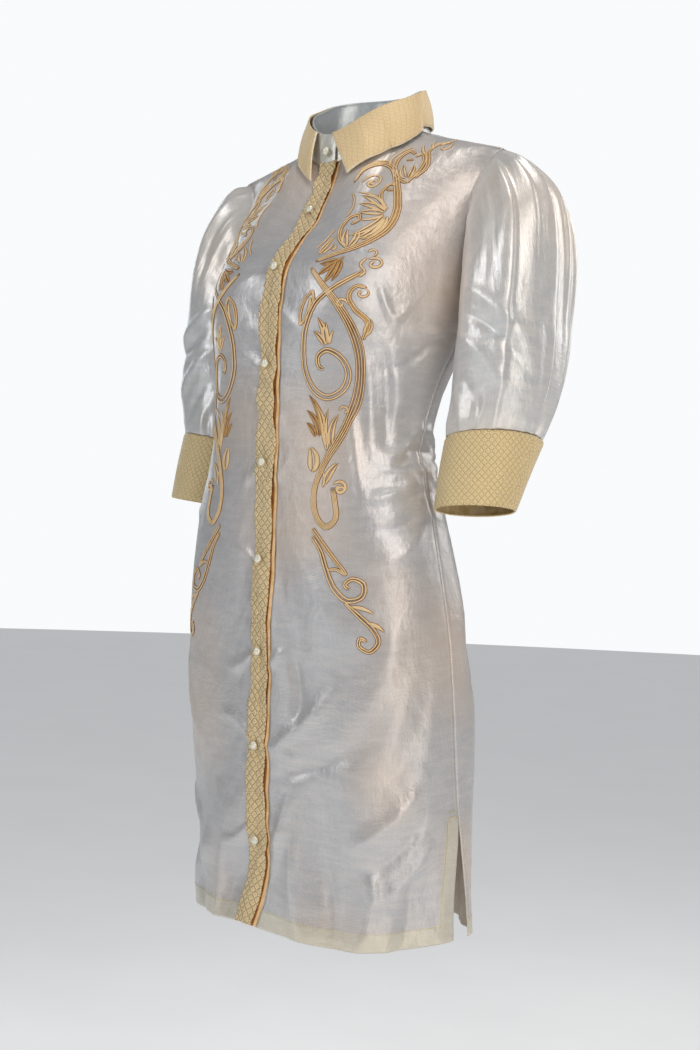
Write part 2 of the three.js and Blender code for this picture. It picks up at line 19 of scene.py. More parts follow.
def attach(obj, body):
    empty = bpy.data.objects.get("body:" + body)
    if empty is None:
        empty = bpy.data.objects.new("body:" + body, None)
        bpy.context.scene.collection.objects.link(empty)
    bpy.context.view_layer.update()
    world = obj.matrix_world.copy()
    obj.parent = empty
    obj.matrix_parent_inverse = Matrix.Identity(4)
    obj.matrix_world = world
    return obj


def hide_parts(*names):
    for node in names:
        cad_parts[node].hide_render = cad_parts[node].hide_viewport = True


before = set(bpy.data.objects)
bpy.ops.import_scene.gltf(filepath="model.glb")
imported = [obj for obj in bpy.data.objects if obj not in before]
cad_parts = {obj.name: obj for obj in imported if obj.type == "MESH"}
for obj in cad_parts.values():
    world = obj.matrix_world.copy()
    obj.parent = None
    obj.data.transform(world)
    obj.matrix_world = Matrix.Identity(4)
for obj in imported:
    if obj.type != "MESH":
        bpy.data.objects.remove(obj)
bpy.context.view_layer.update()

MM = 0.001
DEG = math.pi / 180
TURN = 2 * math.pi
SIDES = ("right", -1), ("left", 1)
AWAY = {"front": -1, "back": 1}     # the way out of each panel, along Y

# ---- sizes of the dress ------------------------------------------------------

CLOTH = 0.9                     # lined organza
BROCADE = 1.8
BAND_WALL = BROCADE - 0.4       # brocade walls, less the relief of their lattice
CUFF_WALL = BROCADE - 0.2
SEAM = 0.3
HEM_TURN = 19                   # the turned hem
SLIT_TURN = 16                  # and the turned edges of the slits

NECK_POINT = np.array((66, 3.5, 12.0))
SHOULDER_TIP = np.array((188, 7, -27.0))
NECK_DEPTH = 60.5
NECK_BACK = 56
NECK_TILT = 30.5
NECK_SAG = 15.5
NECK_FULL = 26
NECK_SHARE = 0.34

ARMPIT = -182
HEM = -849
SKIRT = ARMPIT - HEM
HEM_DROP = {1: 13, -1: 4}
SLIT_TOP = -722
SLIT_SPREAD = 0.045
SCYE = {"front": 0.125, "back": 0.15}
HALF_PANEL = 245                # width of a half panel round the body, about

BAND_HALF = 12.5
BAND_LENGTH = 860
UNDER_SHOWS = 5.5
TUCK = 2.5
STAND_HEIGHT = 33
STAND_FOOT = -1.6
LEAF_LENGTH = 450
LEAF_FALL = 46
CUFF_DROP = 73
CUFF_ROUND = 318
SEAM_GROOVE = 0.9               # how far a stitched side seam is drawn in
LATTICE = 6.8                   # one diamond of the collar's and cuffs' brocade, side to side
BAND_LATTICE = 8.8              # and of the band's
SLANT = 0.92                    # a diamond's width, as a share of its height
BAND_RELIEF = 0.7               # how high the pillows between a lattice's lines stand
CUFF_RELIEF = 0.4
LEAF_RELIEF = 0.25


def table(names, *rows):
    return [dict(zip(names.split(), row)) for row in rows]


TORSO = table(
    "z half front side back square_front square_back",
    (-182, 151, -139, 6, 84, 2.3, 2.2), (-230, 145, -142, -6, 64, 2.3, 2.2),
    (-290, 134, -140, -28, 34, 2.5, 2.2), (-345, 133, -138, -41, 26, 2.6, 2.2),
    (-415, 151, -137, -40, 42, 2.8, 2.2), (-506, 166, -137, -32, 68, 2.7, 2.2),
    (-576, 172, -134, -24, 85, 2.5, 2.2), (-640, 175, -135, -17, 91, 2.3, 2.2),
    (-720, 173, -132, -6, 90, 2.2, 2.1), (-800, 171, -129, 2, 91, 2.1, 2.1),
    (-870, 172, -132, 8, 97, 2.1, 2.1),
)
LEAVING = {
    "front": table("at out down", (0, 36, 120), (NECK_SHARE, 100, 62), (0.7, 128, 52), (1, 12, 70)),
    "back": table("at out down", (0, 52, 110), (0.17, 110, 80), (NECK_SHARE, 190, 50),
                  (0.7, 170, 50), (1, 12, 70)),
}
ARRIVING = 235
SWAY = table(
    "z left in",
    (-36, 0, 0), (-54, 4, 3), (-70, 7, 7), (-86, 9, 10), (-105, 11, 13), (-122, 8, 10),
    (-140, 6.3, 5.5), (-160, 5.2, 1.5), (-200, 4.6, 0), (-250, 4.5, 0), (-300, 2, 0), (-450, 1, 0),
    (-735, 1.5, 0), (-766, 3.5, 0), (-790, 1, 0), (-825, -6, 0), (-862, -15, 0),
)
SWAY_WIDTH = 0.42
BUST = {"x": 80, "z": -196, "width": 50, "height": 58, "rise": 13}

# The largest folds, as in the frame: panel, side, then turn and level at both ends.
FOLDS = table(
    "panel side turn level to_turn to_level width depth",
    ("front", 1, 0.62, -232, 0.93, -350, 15, 5), ("front", 1, 0.8, -300, 1.0, -362, 12, -5),
    ("front", 1, 0.74, -362, 1.0, -384, 13, 5), ("front", 1, 0.45, -600, 0.62, -850, 26, 5),
    ("front", 1, 0.3, -690, 0.3, -862, 24, -4), ("front", 1, 0.86, -740, 0.78, -862, 20, -5),
    ("front", -1, 0.6, -240, 0.9, -345, 15, 4), ("front", -1, 0.8, -352, 1.0, -388, 13, 4),
    ("front", -1, 0.38, -770, 0.72, -838, 17, 5), ("front", -1, 0.62, -600, 0.6, -760, 26, -4),
    ("back", 1, 0.55, -318, 0.98, -372, 13, 5), ("back", 1, 0.5, -590, 0.55, -862, 26, 5),
    ("back", -1, 0.5, -330, 0.95, -358, 13, 5), ("back", -1, 0.42, -620, 0.5, -862, 26, -5),
)
SLEEVE = table(
    "at x y z lift nose out in fore aft",
    (0, 169, 8, -106, 76, 0, 78, 78, 37, 48), (0.1, 184, 13, -114, 64, 1, 74, 74, 54, 60),
    (0.22, 195, 19, -130, 50, 2, 72, 68, 62, 62), (0.36, 202, 20, -160, 34, 3, 62, 57, 72, 64),
    (0.52, 203, 17, -204, 16, 5, 56, 46, 73, 64), (0.68, 205, 10, -246, 10, 7, 57, 47, 69, 63),
    (0.84, 203, 4, -291, 9, 8, 57, 47, 61, 58), (1, 199, -5, -333, 7, 8, 52, 48, 53, 53),
)
RIGHT_ARM = {"y": 8, "out": -1, "fore": -5}
CUFF_HEM = {"x": 200, "y": -33, "z": -333 - CUFF_DROP, "lift": 5, "nose": 6,
            "out": 44, "in": 41, "fore": 43, "aft": 38}
HEAD_PUFF = 7
PLEATS = table(
    "turn drift depth length",
    (8, -6, 4.5, 0.5), (24, 8, 4, 0.4), (46, 9, 7.5, 1.0), (68, 14, 3.5, 0.35),
    (-14, -4, 4.5, 0.6), (-38, -9, 6, 0.85),
)
PLEAT_ROUND = 13
PLEAT_EDGE = 3.5
LEAF_EDGE = table(
    "s q reach",
    (0, -0.055, 0.235), (0.12, -0.14, 0.18), (0.19, -0.28, 0.075), (0.24, -0.4, 0.01),
    (0.29, -0.3, -0.09), (0.39, -0.12, -0.095), (0.482, 0, -0.095), (0.58, 0.11, -0.095),
    (0.67, 0.22, -0.1), (0.72, 0.405, 0), (0.77, 0.44, 0.1), (0.83, 0.4, 0.23),
    (0.88, 0.33, 0.3), (1, 0.155, 0.34),
)

# ---- numbers, vectors and tables ---------------------------------------------


def smoothstep(t, low, high):
    s = np.clip((np.asarray(t, float) - low) / (high - low), 0, 1)
    return s * s * (3 - 2 * s)


def lerp(a, b, t):
    return a + (b - a) * t


def hump(*off):
    """A soft hump of height 1, by how far off its middle a place is each way."""
    return np.exp(-sum(each * each for each in off))


def vec(x, y, z):
    return np.stack(np.broadcast_arrays(x, y, z), -1).astype(float)


def pair(a, b):
    """Two numbers or arrays, as arrays of one shape."""
    return np.broadcast_arrays(np.asarray(a, float), np.asarray(b, float))


def unit(v):
    return v / np.maximum(np.linalg.norm(v, axis=-1, keepdims=True), 1e-9)


def columns(rows, place):
    """Smooth curves through every column of a table, as one function of its place."""
    at = np.array([row[place] for row in rows], float)
    last = len(at) - 1
    ends = np.maximum(np.arange(last + 1) - 1, 0), np.minimum(np.arange(last + 1) + 1, last)
    way = 1 if at[-1] > at[0] else -1
    values = {name: np.array([row[name] for row in rows], float) for name in rows[0] if name != place}
    slopes = {name: (v[ends[1]] - v[ends[0]]) / (at[ends[1]] - at[ends[0]])
              for name, v in values.items()}

    def curve(t):
        t = np.asarray(t, float)
        i = np.clip(np.searchsorted(way * at, way * t) - 1, 0, last - 1)
        span = at[i + 1] - at[i]
        s = np.clip((t - at[i]) / span, 0, 1)
        a, b = (1 + 2 * s) * (1 - s) ** 2, s * s * (3 - 2 * s)
        c, d = s * (1 - s) ** 2, s * s * (s - 1)
        return {
            name: v[i] * a + v[i + 1] * b + slopes[name][i] * span * c + slopes[name][i + 1] * span * d
            for name, v in values.items()
        }
    return curve


torso_at = columns(TORSO, "z")
leaving_at = {face: columns(rows, "at") for face, rows in LEAVING.items()}
sleeve_at = columns(SLEEVE, "at")
leaf_edge_at = columns(LEAF_EDGE, "s")
sway_at = columns(SWAY, "z")


def normals(surface, u, v, step=0.002):
    along = surface(u + step, v) - surface(u - step, v)
    down = surface(u, v + step) - surface(u, v - step)
    return unit(np.cross(along, down))


# ---- the body of the dress ---------------------------------------------------


def section(face, q, z):
    row = torso_at(z)
    front = face == "front"
    depth = row["side"] - row["front"] if front else row["back"] - row["side"]
    square = row["square_front"] if front else row["square_back"]
    turn = q * math.pi / 2
    reach = (np.abs(np.cos(turn) / depth) ** square
             + np.abs(np.sin(turn) / row["half"]) ** square) ** (-1 / square)
    return vec(reach * np.sin(turn), row["side"] + AWAY[face] * reach * np.cos(turn), z)


def neck_ring(turn):
    c = np.cos(turn)
    depth = np.where(c > 0, NECK_DEPTH, NECK_BACK)
    full = np.where(c > 0, NECK_FULL * c * c * (1 - c * c), 0)
    return vec(NECK_POINT[0] * np.sin(turn), NECK_POINT[1] - depth * c,
               NECK_POINT[2] - NECK_TILT * c - NECK_SAG * c * c + full)


def top_edge(face, q):
    turn = np.clip(q / NECK_SHARE, -1, 1) * math.pi / 2
    ring = neck_ring(turn if face == "front" else math.pi - turn)
    s = np.clip((q - NECK_SHARE) / (1 - NECK_SHARE), 0, 2)
    seam = NECK_POINT + (SHOULDER_TIP - NECK_POINT) * s[..., None]
    seam[..., 2] -= 5 * np.sin(math.pi * np.sqrt(s))
    return np.where((q <= NECK_SHARE)[..., None], ring, seam)


def body_base(face, side, q, down):
    q, down = pair(q, down)
    if face == "front":
        drop = HEM_DROP[side] * np.sin(math.pi * np.clip(q * 0.92, 0, 1))
    else:
        drop = 4 * q
    skirt = section(face, q, lerp(ARMPIT, HEM - drop, np.maximum(down, 1) - 1))
    foot = section(face, q, np.full(q.shape, ARMPIT, float))
    below = section(face, q, np.full(q.shape, ARMPIT - 1, float))
    leave = leaving_at[face](q)
    s = np.minimum(down, 1)[..., None]
    yoke = (top_edge(face, q) * (1 + 2 * s) * (1 - s) ** 2 + foot * s * s * (3 - 2 * s)
            + vec(0, AWAY[face] * leave["out"], -leave["down"]) * s * (1 - s) ** 2
            + (below - foot) * ARRIVING * s * s * (s - 1))
    return np.where((down >= 1)[..., None], skirt, yoke)


def bust(point):
    dx = (point[..., 0] - BUST["x"]) / BUST["width"]
    dz = (point[..., 2] - BUST["z"]) / BUST["height"]
    return BUST["rise"] * hump(dx, dz)


def folds(face, side, q, level):
    """How far the largest folds stand out."""
    out = np.zeros(np.broadcast(q, level).shape)
    for fold in FOLDS:
        if fold["panel"] != face or fold["side"] != side:
            continue
        run = np.array(((fold["to_turn"] - fold["turn"]) * HALF_PANEL,
                        fold["to_level"] - fold["level"]))
        here = np.stack(((q - fold["turn"]) * HALF_PANEL, level - fold["level"]), -1)
        s = here @ run / (run @ run)
        off = np.linalg.norm(here - np.clip(s, 0, 1)[..., None] * run, axis=-1) / fold["width"]
        if fold["to_level"] < HEM:
            share = smoothstep(s, -0.15, 0.6)
        else:
            share = smoothstep(s, -0.15, 0.3) * (1 - smoothstep(s, 0.75, 1.15))
        out += fold["depth"] * share * hump(off)
    return out


def hang(face, side, q, level):
    """Folds and creases together. Both panels of a side seam meet in the same form."""
    at_seam = np.ones(np.shape(q))
    own = folds(face, side, q, level) + creases(face, side, q * HALF_PANEL, level)
    shared = sum(folds(one, side, at_seam, level) + creases(one, side, at_seam * HALF_PANEL, level)
                 for one in ("front", "back")) / 2
    near = smoothstep(q, 0.86, 0.99)
    groove = SEAM_GROOVE * smoothstep(q, 0.985, 0.998) * smoothstep(level, SLIT_TOP, SLIT_TOP + 4)
    return lerp(own, shared, near) - groove


def body(face, side, q, down, lift=0.0, creased=True):
    """The outer face of the cloth, with its creases, moved out by lift."""
    q, down = pair(q, down)
    base = partial(body_base, face, side)
    normal = AWAY[face] * normals(base, np.clip(q, 0.004, 0.996), np.clip(down, 0.004, 1.996))
    up = (1 - smoothstep(down, 0, 0.12)) * smoothstep(q, 0.2, 0.4)
    normal = unit(lerp(normal, np.array((0, 0, 1.0)), up[..., None]))
    point = base(q, down)
    sway = sway_at(point[..., 2])
    share = 1 - smoothstep(q, 0.02, SWAY_WIDTH)
    out = (hang if creased else folds)(face, side, q, point[..., 2]) + lift
    if face == "front":
        out = out + bust(point)
    point = point + normal * np.asarray(out)[..., None]
    point[..., 0] *= side
    if face == "front":
        point[..., 0] += sway["left"] * share
        point[..., 1] += sway["in"] * share
    return point


def either_side(face, across, q, down, lift, creased=True):
    """A point on the wearer's left side, or on the right where across is below 0."""
    left, right = (body(face, side, q, down, lift, creased) for side in (1, -1))
    return np.where((across < 0)[..., None], right, left)


def armhole(face, down):
    cut = SCYE[face] * np.sin(math.pi * np.clip(down, 0, 1) ** 1.3) ** 0.6
    return 1 - np.where(np.asarray(down) >= 1, 0, cut)


def outer_edge(face, down):
    z = body_base(face, 1, np.full(np.shape(down), 0.99), down)[..., 2]
    slit = smoothstep(-z, -SLIT_TOP - 10, -HEM) * SLIT_SPREAD
    return armhole(face, down) - slit - 0.0007


def share_of(distance, face, down):
    at = [body_base(face, 1, np.full(np.shape(down), q), down) for q in (0.02, 0.0)]
    return 0.02 * distance / np.linalg.norm(at[0] - at[1], axis=-1)


def down_at(face, side, q, level):
    """The place down a panel where it reaches a level."""
    q, level = pair(q, level)
    low, high = np.zeros(q.shape), np.full(q.shape, 2.0)
    for _ in range(24):
        middle = (low + high) / 2
        above = body_base(face, side, q, middle)[..., 2] > level
        low, high = np.where(above, middle, low), np.where(above, high, middle)
    return (low + high) / 2


def on_panel(face, side, across, level, lift=0.0):
    q = np.asarray(across, float) / HALF_PANEL
    return body(face, side, q, down_at(face, side, q, level), lift)


# ---- creases -----------------------------------------------------------------
# Each is a soft ridge (depth above 0) or trough, given by where it starts and ends,
# across and by level, how far it bows, its half width, its depth, and which of its ends
# run on into a seam or an edge (a: start, b: end).

CREASE = "x z to_x to_z bow width depth open"
CREASES = {
    ("front", 1): table(
        CREASE,
        (128, -172, 158, -222, -3, 3.5, 2.4), (168, -200, 150, -214, 0, 3.5, 2.0),
        (218, -222, 150, -214, 5, 5, 2.0, "a"), (205, -236, 148, -262, 9, 6, -2.0, "a"),
        (112, -226, 176, -372, 12, 7, 2.2), (140, -232, 192, -352, 10, 6, -2.0),
        (128, -290, 158, -420, 9, 7, 1.8), (232, -330, 176, -352, 7, 4.5, 2.2, "a"),
        (238, -348, 168, -368, 6, 4.5, -2.2, "a"), (240, -366, 150, -398, 9, 5, 2.3, "a"),
        (240, -392, 165, -432, 9, 6, -1.8, "a"), (240, -415, 150, -470, 10, 7, 1.8, "a"),
        (60, -470, 150, -560, 10, 12, 1.6), (185, -520, 120, -640, 14, 13, 2.2),
        (215, -560, 150, -720, 12, 13, -2.2), (24, -662, 130, -585, -9, 9, 2.6),
        (30, -690, 160, -640, -8, 10, -2.6), (60, -560, 70, -640, 7, 8, -2.0),
        (26, -800, 66, -700, 7, 7, 2.0), (200, -690, 110, -762, 10, 8, 2.6),
        (206, -716, 128, -792, 10, 7, -2.2), (215, -745, 140, -820, 8, 7, 2.4),
        (60, -748, 70, -850, -6, 9, 2.0, "b"), (98, -770, 104, -856, 6, 10, -2.2, "b"),
        (150, -770, 135, -856, 5, 8, 2.2, "b"), (188, -780, 176, -856, 4, 7, -1.8, "b"),
        (22, -205, 80, -232, -6, 7, 1.2, "a"), (24, -380, 70, -366, 5, 6, 0.9, "a"),
        (24, -575, 60, -560, 4, 5, 1.0, "a"), (24, -660, 66, -676, 5, 6, 1.1, "a"),
        (24, -765, 58, -742, 4, 6, 1.1, "a"),
    ),
    ("front", -1): table(
        CREASE,
        (18, -165, 60, -182, 5, 5, 1.2, "a"), (18, -262, 70, -250, 6, 6, 1.2, "a"),
        (18, -368, 66, -380, -6, 6, 1.2, "a"), (18, -470, 74, -455, 6, 6, 1.3, "a"),
        (18, -566, 72, -580, -5, 6, 1.2, "a"), (18, -650, 80, -632, 7, 6, 1.3, "a"),
        (18, -750, 70, -768, -6, 6, 1.4, "a"), (150, -196, 105, -208, -5, 5, 1.6, "a"),
        (192, -216, 125, -240, 8, 6, 1.8, "a"), (96, -262, 140, -388, 14, 8, 2.0),
        (232, -330, 170, -350, 6, 5, 2.0, "a"), (238, -352, 160, -376, 6, 5, -2.0, "a"),
        (240, -380, 150, -420, 8, 6, 1.8, "a"), (180, -540, 120, -680, 14, 12, 1.8),
        (205, -700, 130, -770, 9, 8, 2.0), (60, -760, 66, -850, 5, 9, 1.6, "b"),
        (128, -770, 112, -850, 5, 9, -2.0, "b"),
    ),
    ("back", 1): table(
        CREASE,
        (200, -214, 120, -262, 10, 7, 2.0, "a"), (212, -246, 130, -300, 10, 7, -2.0, "a"),
        (238, -322, 120, -342, 7, 5, 2.2, "a"), (240, -344, 110, -366, 7, 5, -2.2, "a"),
        (240, -368, 120, -398, 8, 6, 2.0, "a"), (60, -300, 40, -420, 8, 8, 1.6),
        (170, -480, 130, -640, 12, 12, 2.0), (90, -560, 100, -760, 8, 14, -1.8),
        (60, -740, 66, -852, 5, 10, 2.0, "b"), (140, -740, 150, -852, 6, 10, 2.0, "b"),
        (190, -760, 186, -852, 4, 8, -1.8, "b"),
    ),
    ("back", -1): table(
        CREASE,
        (202, -210, 118, -250, 10, 7, 1.8, "a"), (236, -318, 130, -336, 6, 5, 2.0, "a"),
        (240, -340, 100, -358, 8, 5, -2.2, "a"), (240, -362, 112, -390, 7, 6, 2.2, "a"),
        (240, -392, 150, -430, 8, 7, -1.6, "a"), (50, -320, 70, -430, -8, 8, -1.4),
        (180, -500, 120, -660, 13, 12, 1.8), (80, -600, 86, -780, -8, 14, 1.8),
        (110, -750, 120, -852, 5, 10, -2.0, "b"), (170, -750, 160, -852, 5, 9, 2.0, "b"),
    ),
}


def crease_share(t, open_ends):
    start = 1 if "a" in open_ends else smoothstep(t, -0.08, 0.35)
    end = 1 if "b" in open_ends else 1 - smoothstep(t, 0.6, 1.08)
    return start * end


def lay_creases(rows, x, z):
    out = np.zeros(np.broadcast(x, z).shape)
    for row in rows:
        run = np.array((row["to_x"] - row["x"], row["to_z"] - row["z"]), float)
        length = math.hypot(*run)
        side_way = np.array((-run[1], run[0])) / length
        dx, dz = x - row["x"], z - row["z"]
        t = (dx * run[0] + dz * run[1]) / length ** 2
        along = np.clip(t, 0, 1)
        off = dx * side_way[0] + dz * side_way[1] - row["bow"] * 4 * along * (1 - along)
        past = np.maximum(np.abs(t - 0.5) - 0.5, 0) * length
        ends = row.get("open", "")
        past = np.where(("a" in ends) & (t < 0) | ("b" in ends) & (t > 1), 0, past)
        width = row["width"] * (0.75 + 0.5 * along)
        out += row["depth"] * crease_share(t, ends) * hump(off / width, past / width)
    return out


def crumple(a, b, seed):
    """Crisp irregular ripples, from about -1 to 1, of two distances in millimetres."""
    bend = np.sin(a / 31 + 1.9 * np.sin(b / 43 + seed)) + np.sin(b / 37 - seed)
    long = np.sin(a / 7.5 + 1.8 * bend + b / 35)
    short = np.sin(b / 10 + a / 14 + 1.4 * np.sin(a / 17 + 2 * seed) + bend)
    crisp = 1 - np.abs(np.sin((a * 0.8 - b) / 22 + 1.2 * bend))
    where = 0.6 + 0.4 * np.sin(a / 60 + seed) * np.sin(b / 75 + 2 * seed)
    return where * (0.4 * long * short + 0.6 * crisp ** 3 - 0.15)


def billow(a, b, seed):
    """Broad soft swells in the hang of the cloth."""
    bend = 1.3 * np.sin(b / 66 + seed) + 0.8 * np.sin(a / 41 - 2 * seed)
    return np.sin(a / 21 + b / 52 + bend) * (0.6 + 0.4 * np.sin(b / 47 - a / 60 + seed))


# How strong each kind of fold is in the body, and how much stronger in the skirt.
STRENGTH = {"billow": (0.8, 2.9), "laid": (1.35, 0.6), "crumple": (0.8, 0.1)}
CALM_UNDER_STITCHES = 0.55      # the share of the folds that the embroidery flattens


def creases(face, side, across, level):
    skirt, skirt_below = smoothstep(-level, 400, 560), smoothstep(-level, 500, 560)
    seed = 0.7 * side + (2.3 if face == "back" else 0)
    strength = {kind: share + more * skirt for kind, (share, more) in STRENGTH.items()}
    out = strength["billow"] * billow(across, level, seed) * smoothstep(-level, 30, 150)
    out += strength["laid"] * lay_creases(CREASES[face, side], across, level)
    out += strength["crumple"] * crumple(across, level, seed)
    if face == "front":
        worked = smoothstep(across, 40, 60) * (1 - smoothstep(across, 125, 155)) * (1 - skirt_below)
        out = out * (1 - CALM_UNDER_STITCHES * worked)
        near = np.exp(-np.maximum(0, across - 17) / 17) * smoothstep(-level, 40, 140)
        pull = np.sin(level / 6.5 + 1.5 * np.sin(level / 41) + 0.09 * across * side)
        out += near * pull * (0.55 + 0.45 * np.sin(level / 57 + side))
    return out


# ---- sleeves and cuffs -------------------------------------------------------


def ring_point(ring, turn):
    lift, nose = ring["lift"] * DEG, ring["nose"] * DEG
    c, s = np.cos(turn), np.sin(turn)
    out = c * np.where(c > 0, ring["out"], ring["in"])
    ahead = s * np.where(s > 0, ring["fore"], ring["aft"])
    return vec(ring["x"] + out * np.cos(lift), ring["y"] - ahead * np.cos(nose),
               ring["z"] + out * np.sin(lift) + ahead * np.sin(nose))


def armhole_point(turn):
    ahead = np.sin(turn) >= 0
    down = np.clip((1 - np.cos(turn)) / 2, 0.001, 0.999)
    sides = []
    for face in ("front", "back"):
        q = armhole(face, down)
        point = body(face, 1, q, down, 0.2, creased=False)
        further = body(face, 1, np.minimum(1, q + 0.01), down, 0.2, creased=False)
        away = unit(further - body(face, 1, q - 0.01, down, 0.2, creased=False))
        sides.append((point, away))
    point = np.where(ahead[..., None], sides[0][0], sides[1][0])
    away = np.where(ahead[..., None], sides[0][1], sides[1][1])
    c = np.cos(turn)[..., None]
    past = np.where(c > 0, np.array((1.0, 0, 0)), np.array((0, 0, 1.0)))
    away = unit(lerp(away, past, c ** 2))
    return point + away * (0.05 + 0.6 * np.maximum(0, c) ** 4)


def pleats(turn, at):
    out = np.zeros(np.broadcast(turn, at).shape)
    for pleat in PLEATS:
        off = turn - (pleat["turn"] + pleat["drift"] * at) * DEG
        off = off - TURN * np.round(off / TURN)
        away = off * np.sign(pleat["turn"])
        width = np.where(away > 0, PLEAT_ROUND, PLEAT_EDGE) * DEG
        length = pleat["length"]
        fade = smoothstep(at, 0, 0.1) * (1 - smoothstep(at, length * 0.5, length + 0.2))
        out += pleat["depth"] * fade * hump(off / width)
    return out


def ring_at(side, at):
    ring = sleeve_at(np.minimum(at, 1))
    past = np.clip(at - 1, 0, 1)
    ring = {name: np.where(at > 1, lerp(v, CUFF_HEM[name], past), v) for name, v in ring.items()}
    if side < 0:
        share = smoothstep(at, 0, 0.3) * (1 - 0.55 * smoothstep(at, 0.6, 1))
        for name, more in RIGHT_ARM.items():
            ring[name] = ring[name] + more * share
    return ring


def sleeve_base(side, turn, at):
    point = ring_point(ring_at(side, at), turn)
    fade = 1 - smoothstep(at, 0, 0.26)
    seam = armhole_point(turn) - ring_point(sleeve_at(np.zeros(np.shape(turn))), turn)
    return point + seam * fade[..., None]


# Creases of a sleeve, by the angle round it in degrees and the share of its length.
SLEEVE_CREASES = table(
    "turn at to_turn to_at bow width depth",
    (70, 0.02, 60, 0.5, 6, 5, -1.8), (104, 0.02, 98, 0.28, -5, 7, 1.4), (52, 0.2, 62, 0.62, 6, 10, 1.8),
    (112, 0.4, 30, 0.7, -8, 10, 3.0), (104, 0.52, 24, 0.82, -8, 9, -2.8),
    (116, 0.6, 42, 0.9, -8, 9, 3.0), (112, 0.74, 66, 0.99, -5, 8, -2.4),
    (126, 0.78, 92, 1.0, -5, 7, 2.2), (140, 0.3, 122, 1.0, 8, 8, 2.0), (8, 0.5, -4, 1.0, 6, 7, -1.8),
    (-20, 0.55, -14, 1.0, -5, 7, 2.0), (-48, 0.4, -40, 1.0, 6, 8, -2.0),
    (-75, 0.5, -82, 1.0, 5, 7, 2.2), (-110, 0.02, -100, 0.6, 6, 7, 1.8),
    (-130, 0.5, -122, 1.0, 5, 8, -2.0), (165, 0.5, 170, 1.0, 4, 8, 1.6),
)
GATHERS = 23                    # small gathers round the bottom of a sleeve


def sleeve_creases(side, turn, at):
    degrees = turn / DEG
    out = np.zeros(np.broadcast(turn, at).shape)
    for i, row in enumerate(SLEEVE_CREASES):
        shift = 0 if side > 0 else 7 * math.sin(3.1 * i)
        t = np.clip((at - row["at"]) / (row["to_at"] - row["at"]), -0.2, 1.2)
        middle = lerp(row["turn"] + shift, row["to_turn"] + shift, t) + row["bow"] * 4 * t * (1 - t)
        off = (degrees - middle + 180) % 360 - 180
        share = smoothstep(t, -0.05, 0.3) if row["at"] > 0.05 else 1
        end = 1 if row["to_at"] >= 1 else 1 - smoothstep(t, 0.6, 1.1)
        out += row["depth"] * share * end * hump(off / row["width"])
    near = smoothstep(at, 0.8, 1.0)
    uneven = 0.55 + 0.45 * np.sin(5 * turn + 2 * side)
    wave = np.sin(GATHERS * turn + 1.1 * np.sin(3 * turn + side)) * uneven
    out = out + 0.4 * crumple(degrees * 1.05, at * 300, 1.7 * side)
    return out + 1.1 * near * wave - 1.5 * smoothstep(at, 0.95, 1.0)


def sleeve_point(side, turn, at, lift=0.0):
    turn, at = pair(turn, at)
    base = partial(sleeve_base, side)
    normal = normals(base, turn, np.clip(at, 0.012, 0.99), 0.01)
    point = base(turn, at)
    ring = ring_at(side, at)
    centre = vec(ring["x"], ring["y"], ring["z"])
    inward = np.sum(normal * (point - centre), -1, keepdims=True) < 0
    normal = np.where(inward, -normal, normal)
    head = np.maximum(0, np.cos(turn)) ** 4 * (1 - smoothstep(at, 0, 0.08))
    normal = unit(lerp(normal, np.array((0, 0, 1.0)), head[..., None]))
    out = pleats(turn, at) + smoothstep(at, 0, 0.06) * sleeve_creases(side, turn, at) + lift
    if side < 0:
        rise = smoothstep(at, 0, 0.07) * (1 - smoothstep(at, 0.12, 0.45))
        out = out + HEAD_PUFF * np.maximum(0, np.cos(turn)) ** 2 * rise
    point = point + normal * out[..., None]
    point[..., 0] *= side
    return point


def cuff_point(side, turn, down, lift=0.0):
    turn, down = pair(turn, down)
    ring = ring_at(side, 1 + down)
    for reach in ("out", "in", "fore", "aft"):
        ring[reach] = ring[reach] + lift
    ring["z"] = ring["z"] - SEAM - 0.1
    point = ring_point(ring, turn)
    point[..., 0] *= side
    return point


# ---- collar ------------------------------------------------------------------


def stand_point(turn, up, lift=0.0):
    turn, up = pair(turn, up)
    over = smoothstep(turn, 300 * DEG, 348 * DEG) * (BROCADE + 0.5)
    point = neck_ring(turn)
    outward = unit(vec(point[..., 0], point[..., 1] - NECK_POINT[1], 0))
    point = point + outward * (over + lift - 2.5 * up)[..., None]
    point[..., 2] += lerp(STAND_FOOT, STAND_HEIGHT, up)
    return point


def leaf_foot(s, lift):
    edge = leaf_edge_at(s)
    q, reach = edge["q"], edge["reach"]
    front, back = (either_side(face, q, np.abs(q), np.abs(reach), lift, False)
                   for face in ("front", "back"))
    return np.where((reach < 0)[..., None], back, front)


def leaf_point(s, fall, lift=0.0):
    s, fall = pair(s, fall)
    turn = lerp(-15.5 * DEG, -357 * DEG, s) % TURN
    top = stand_point(turn, 1.0, 2.6)
    foot = leaf_foot(s, 3.4)
    point = lerp(top, foot, fall[..., None])
    outward = unit(vec(point[..., 0], point[..., 1] - NECK_POINT[1], 0))
    outward[..., 2] = 0.25 + 0.35 * fall
    outward = unit(outward)
    return point + outward * (lift + 2.5 * np.sin(math.pi * fall))[..., None]


# ---- making pieces -----------------------------------------------------------


def add(name, data):
    added = bpy.data.objects.new(name, data)
    bpy.context.collection.objects.link(added)
    return added


def shell(name, bm, *materials):
    mesh = bpy.data.meshes.new(name)
    bm.to_mesh(mesh)
    bm.free()
    for material in materials:
        mesh.materials.append(material)
    mesh.shade_smooth()
    return add(name, mesh)


def make(name, bm, *materials):
    piece = shell(name, bm, *materials)
    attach(piece, "root")
    return piece


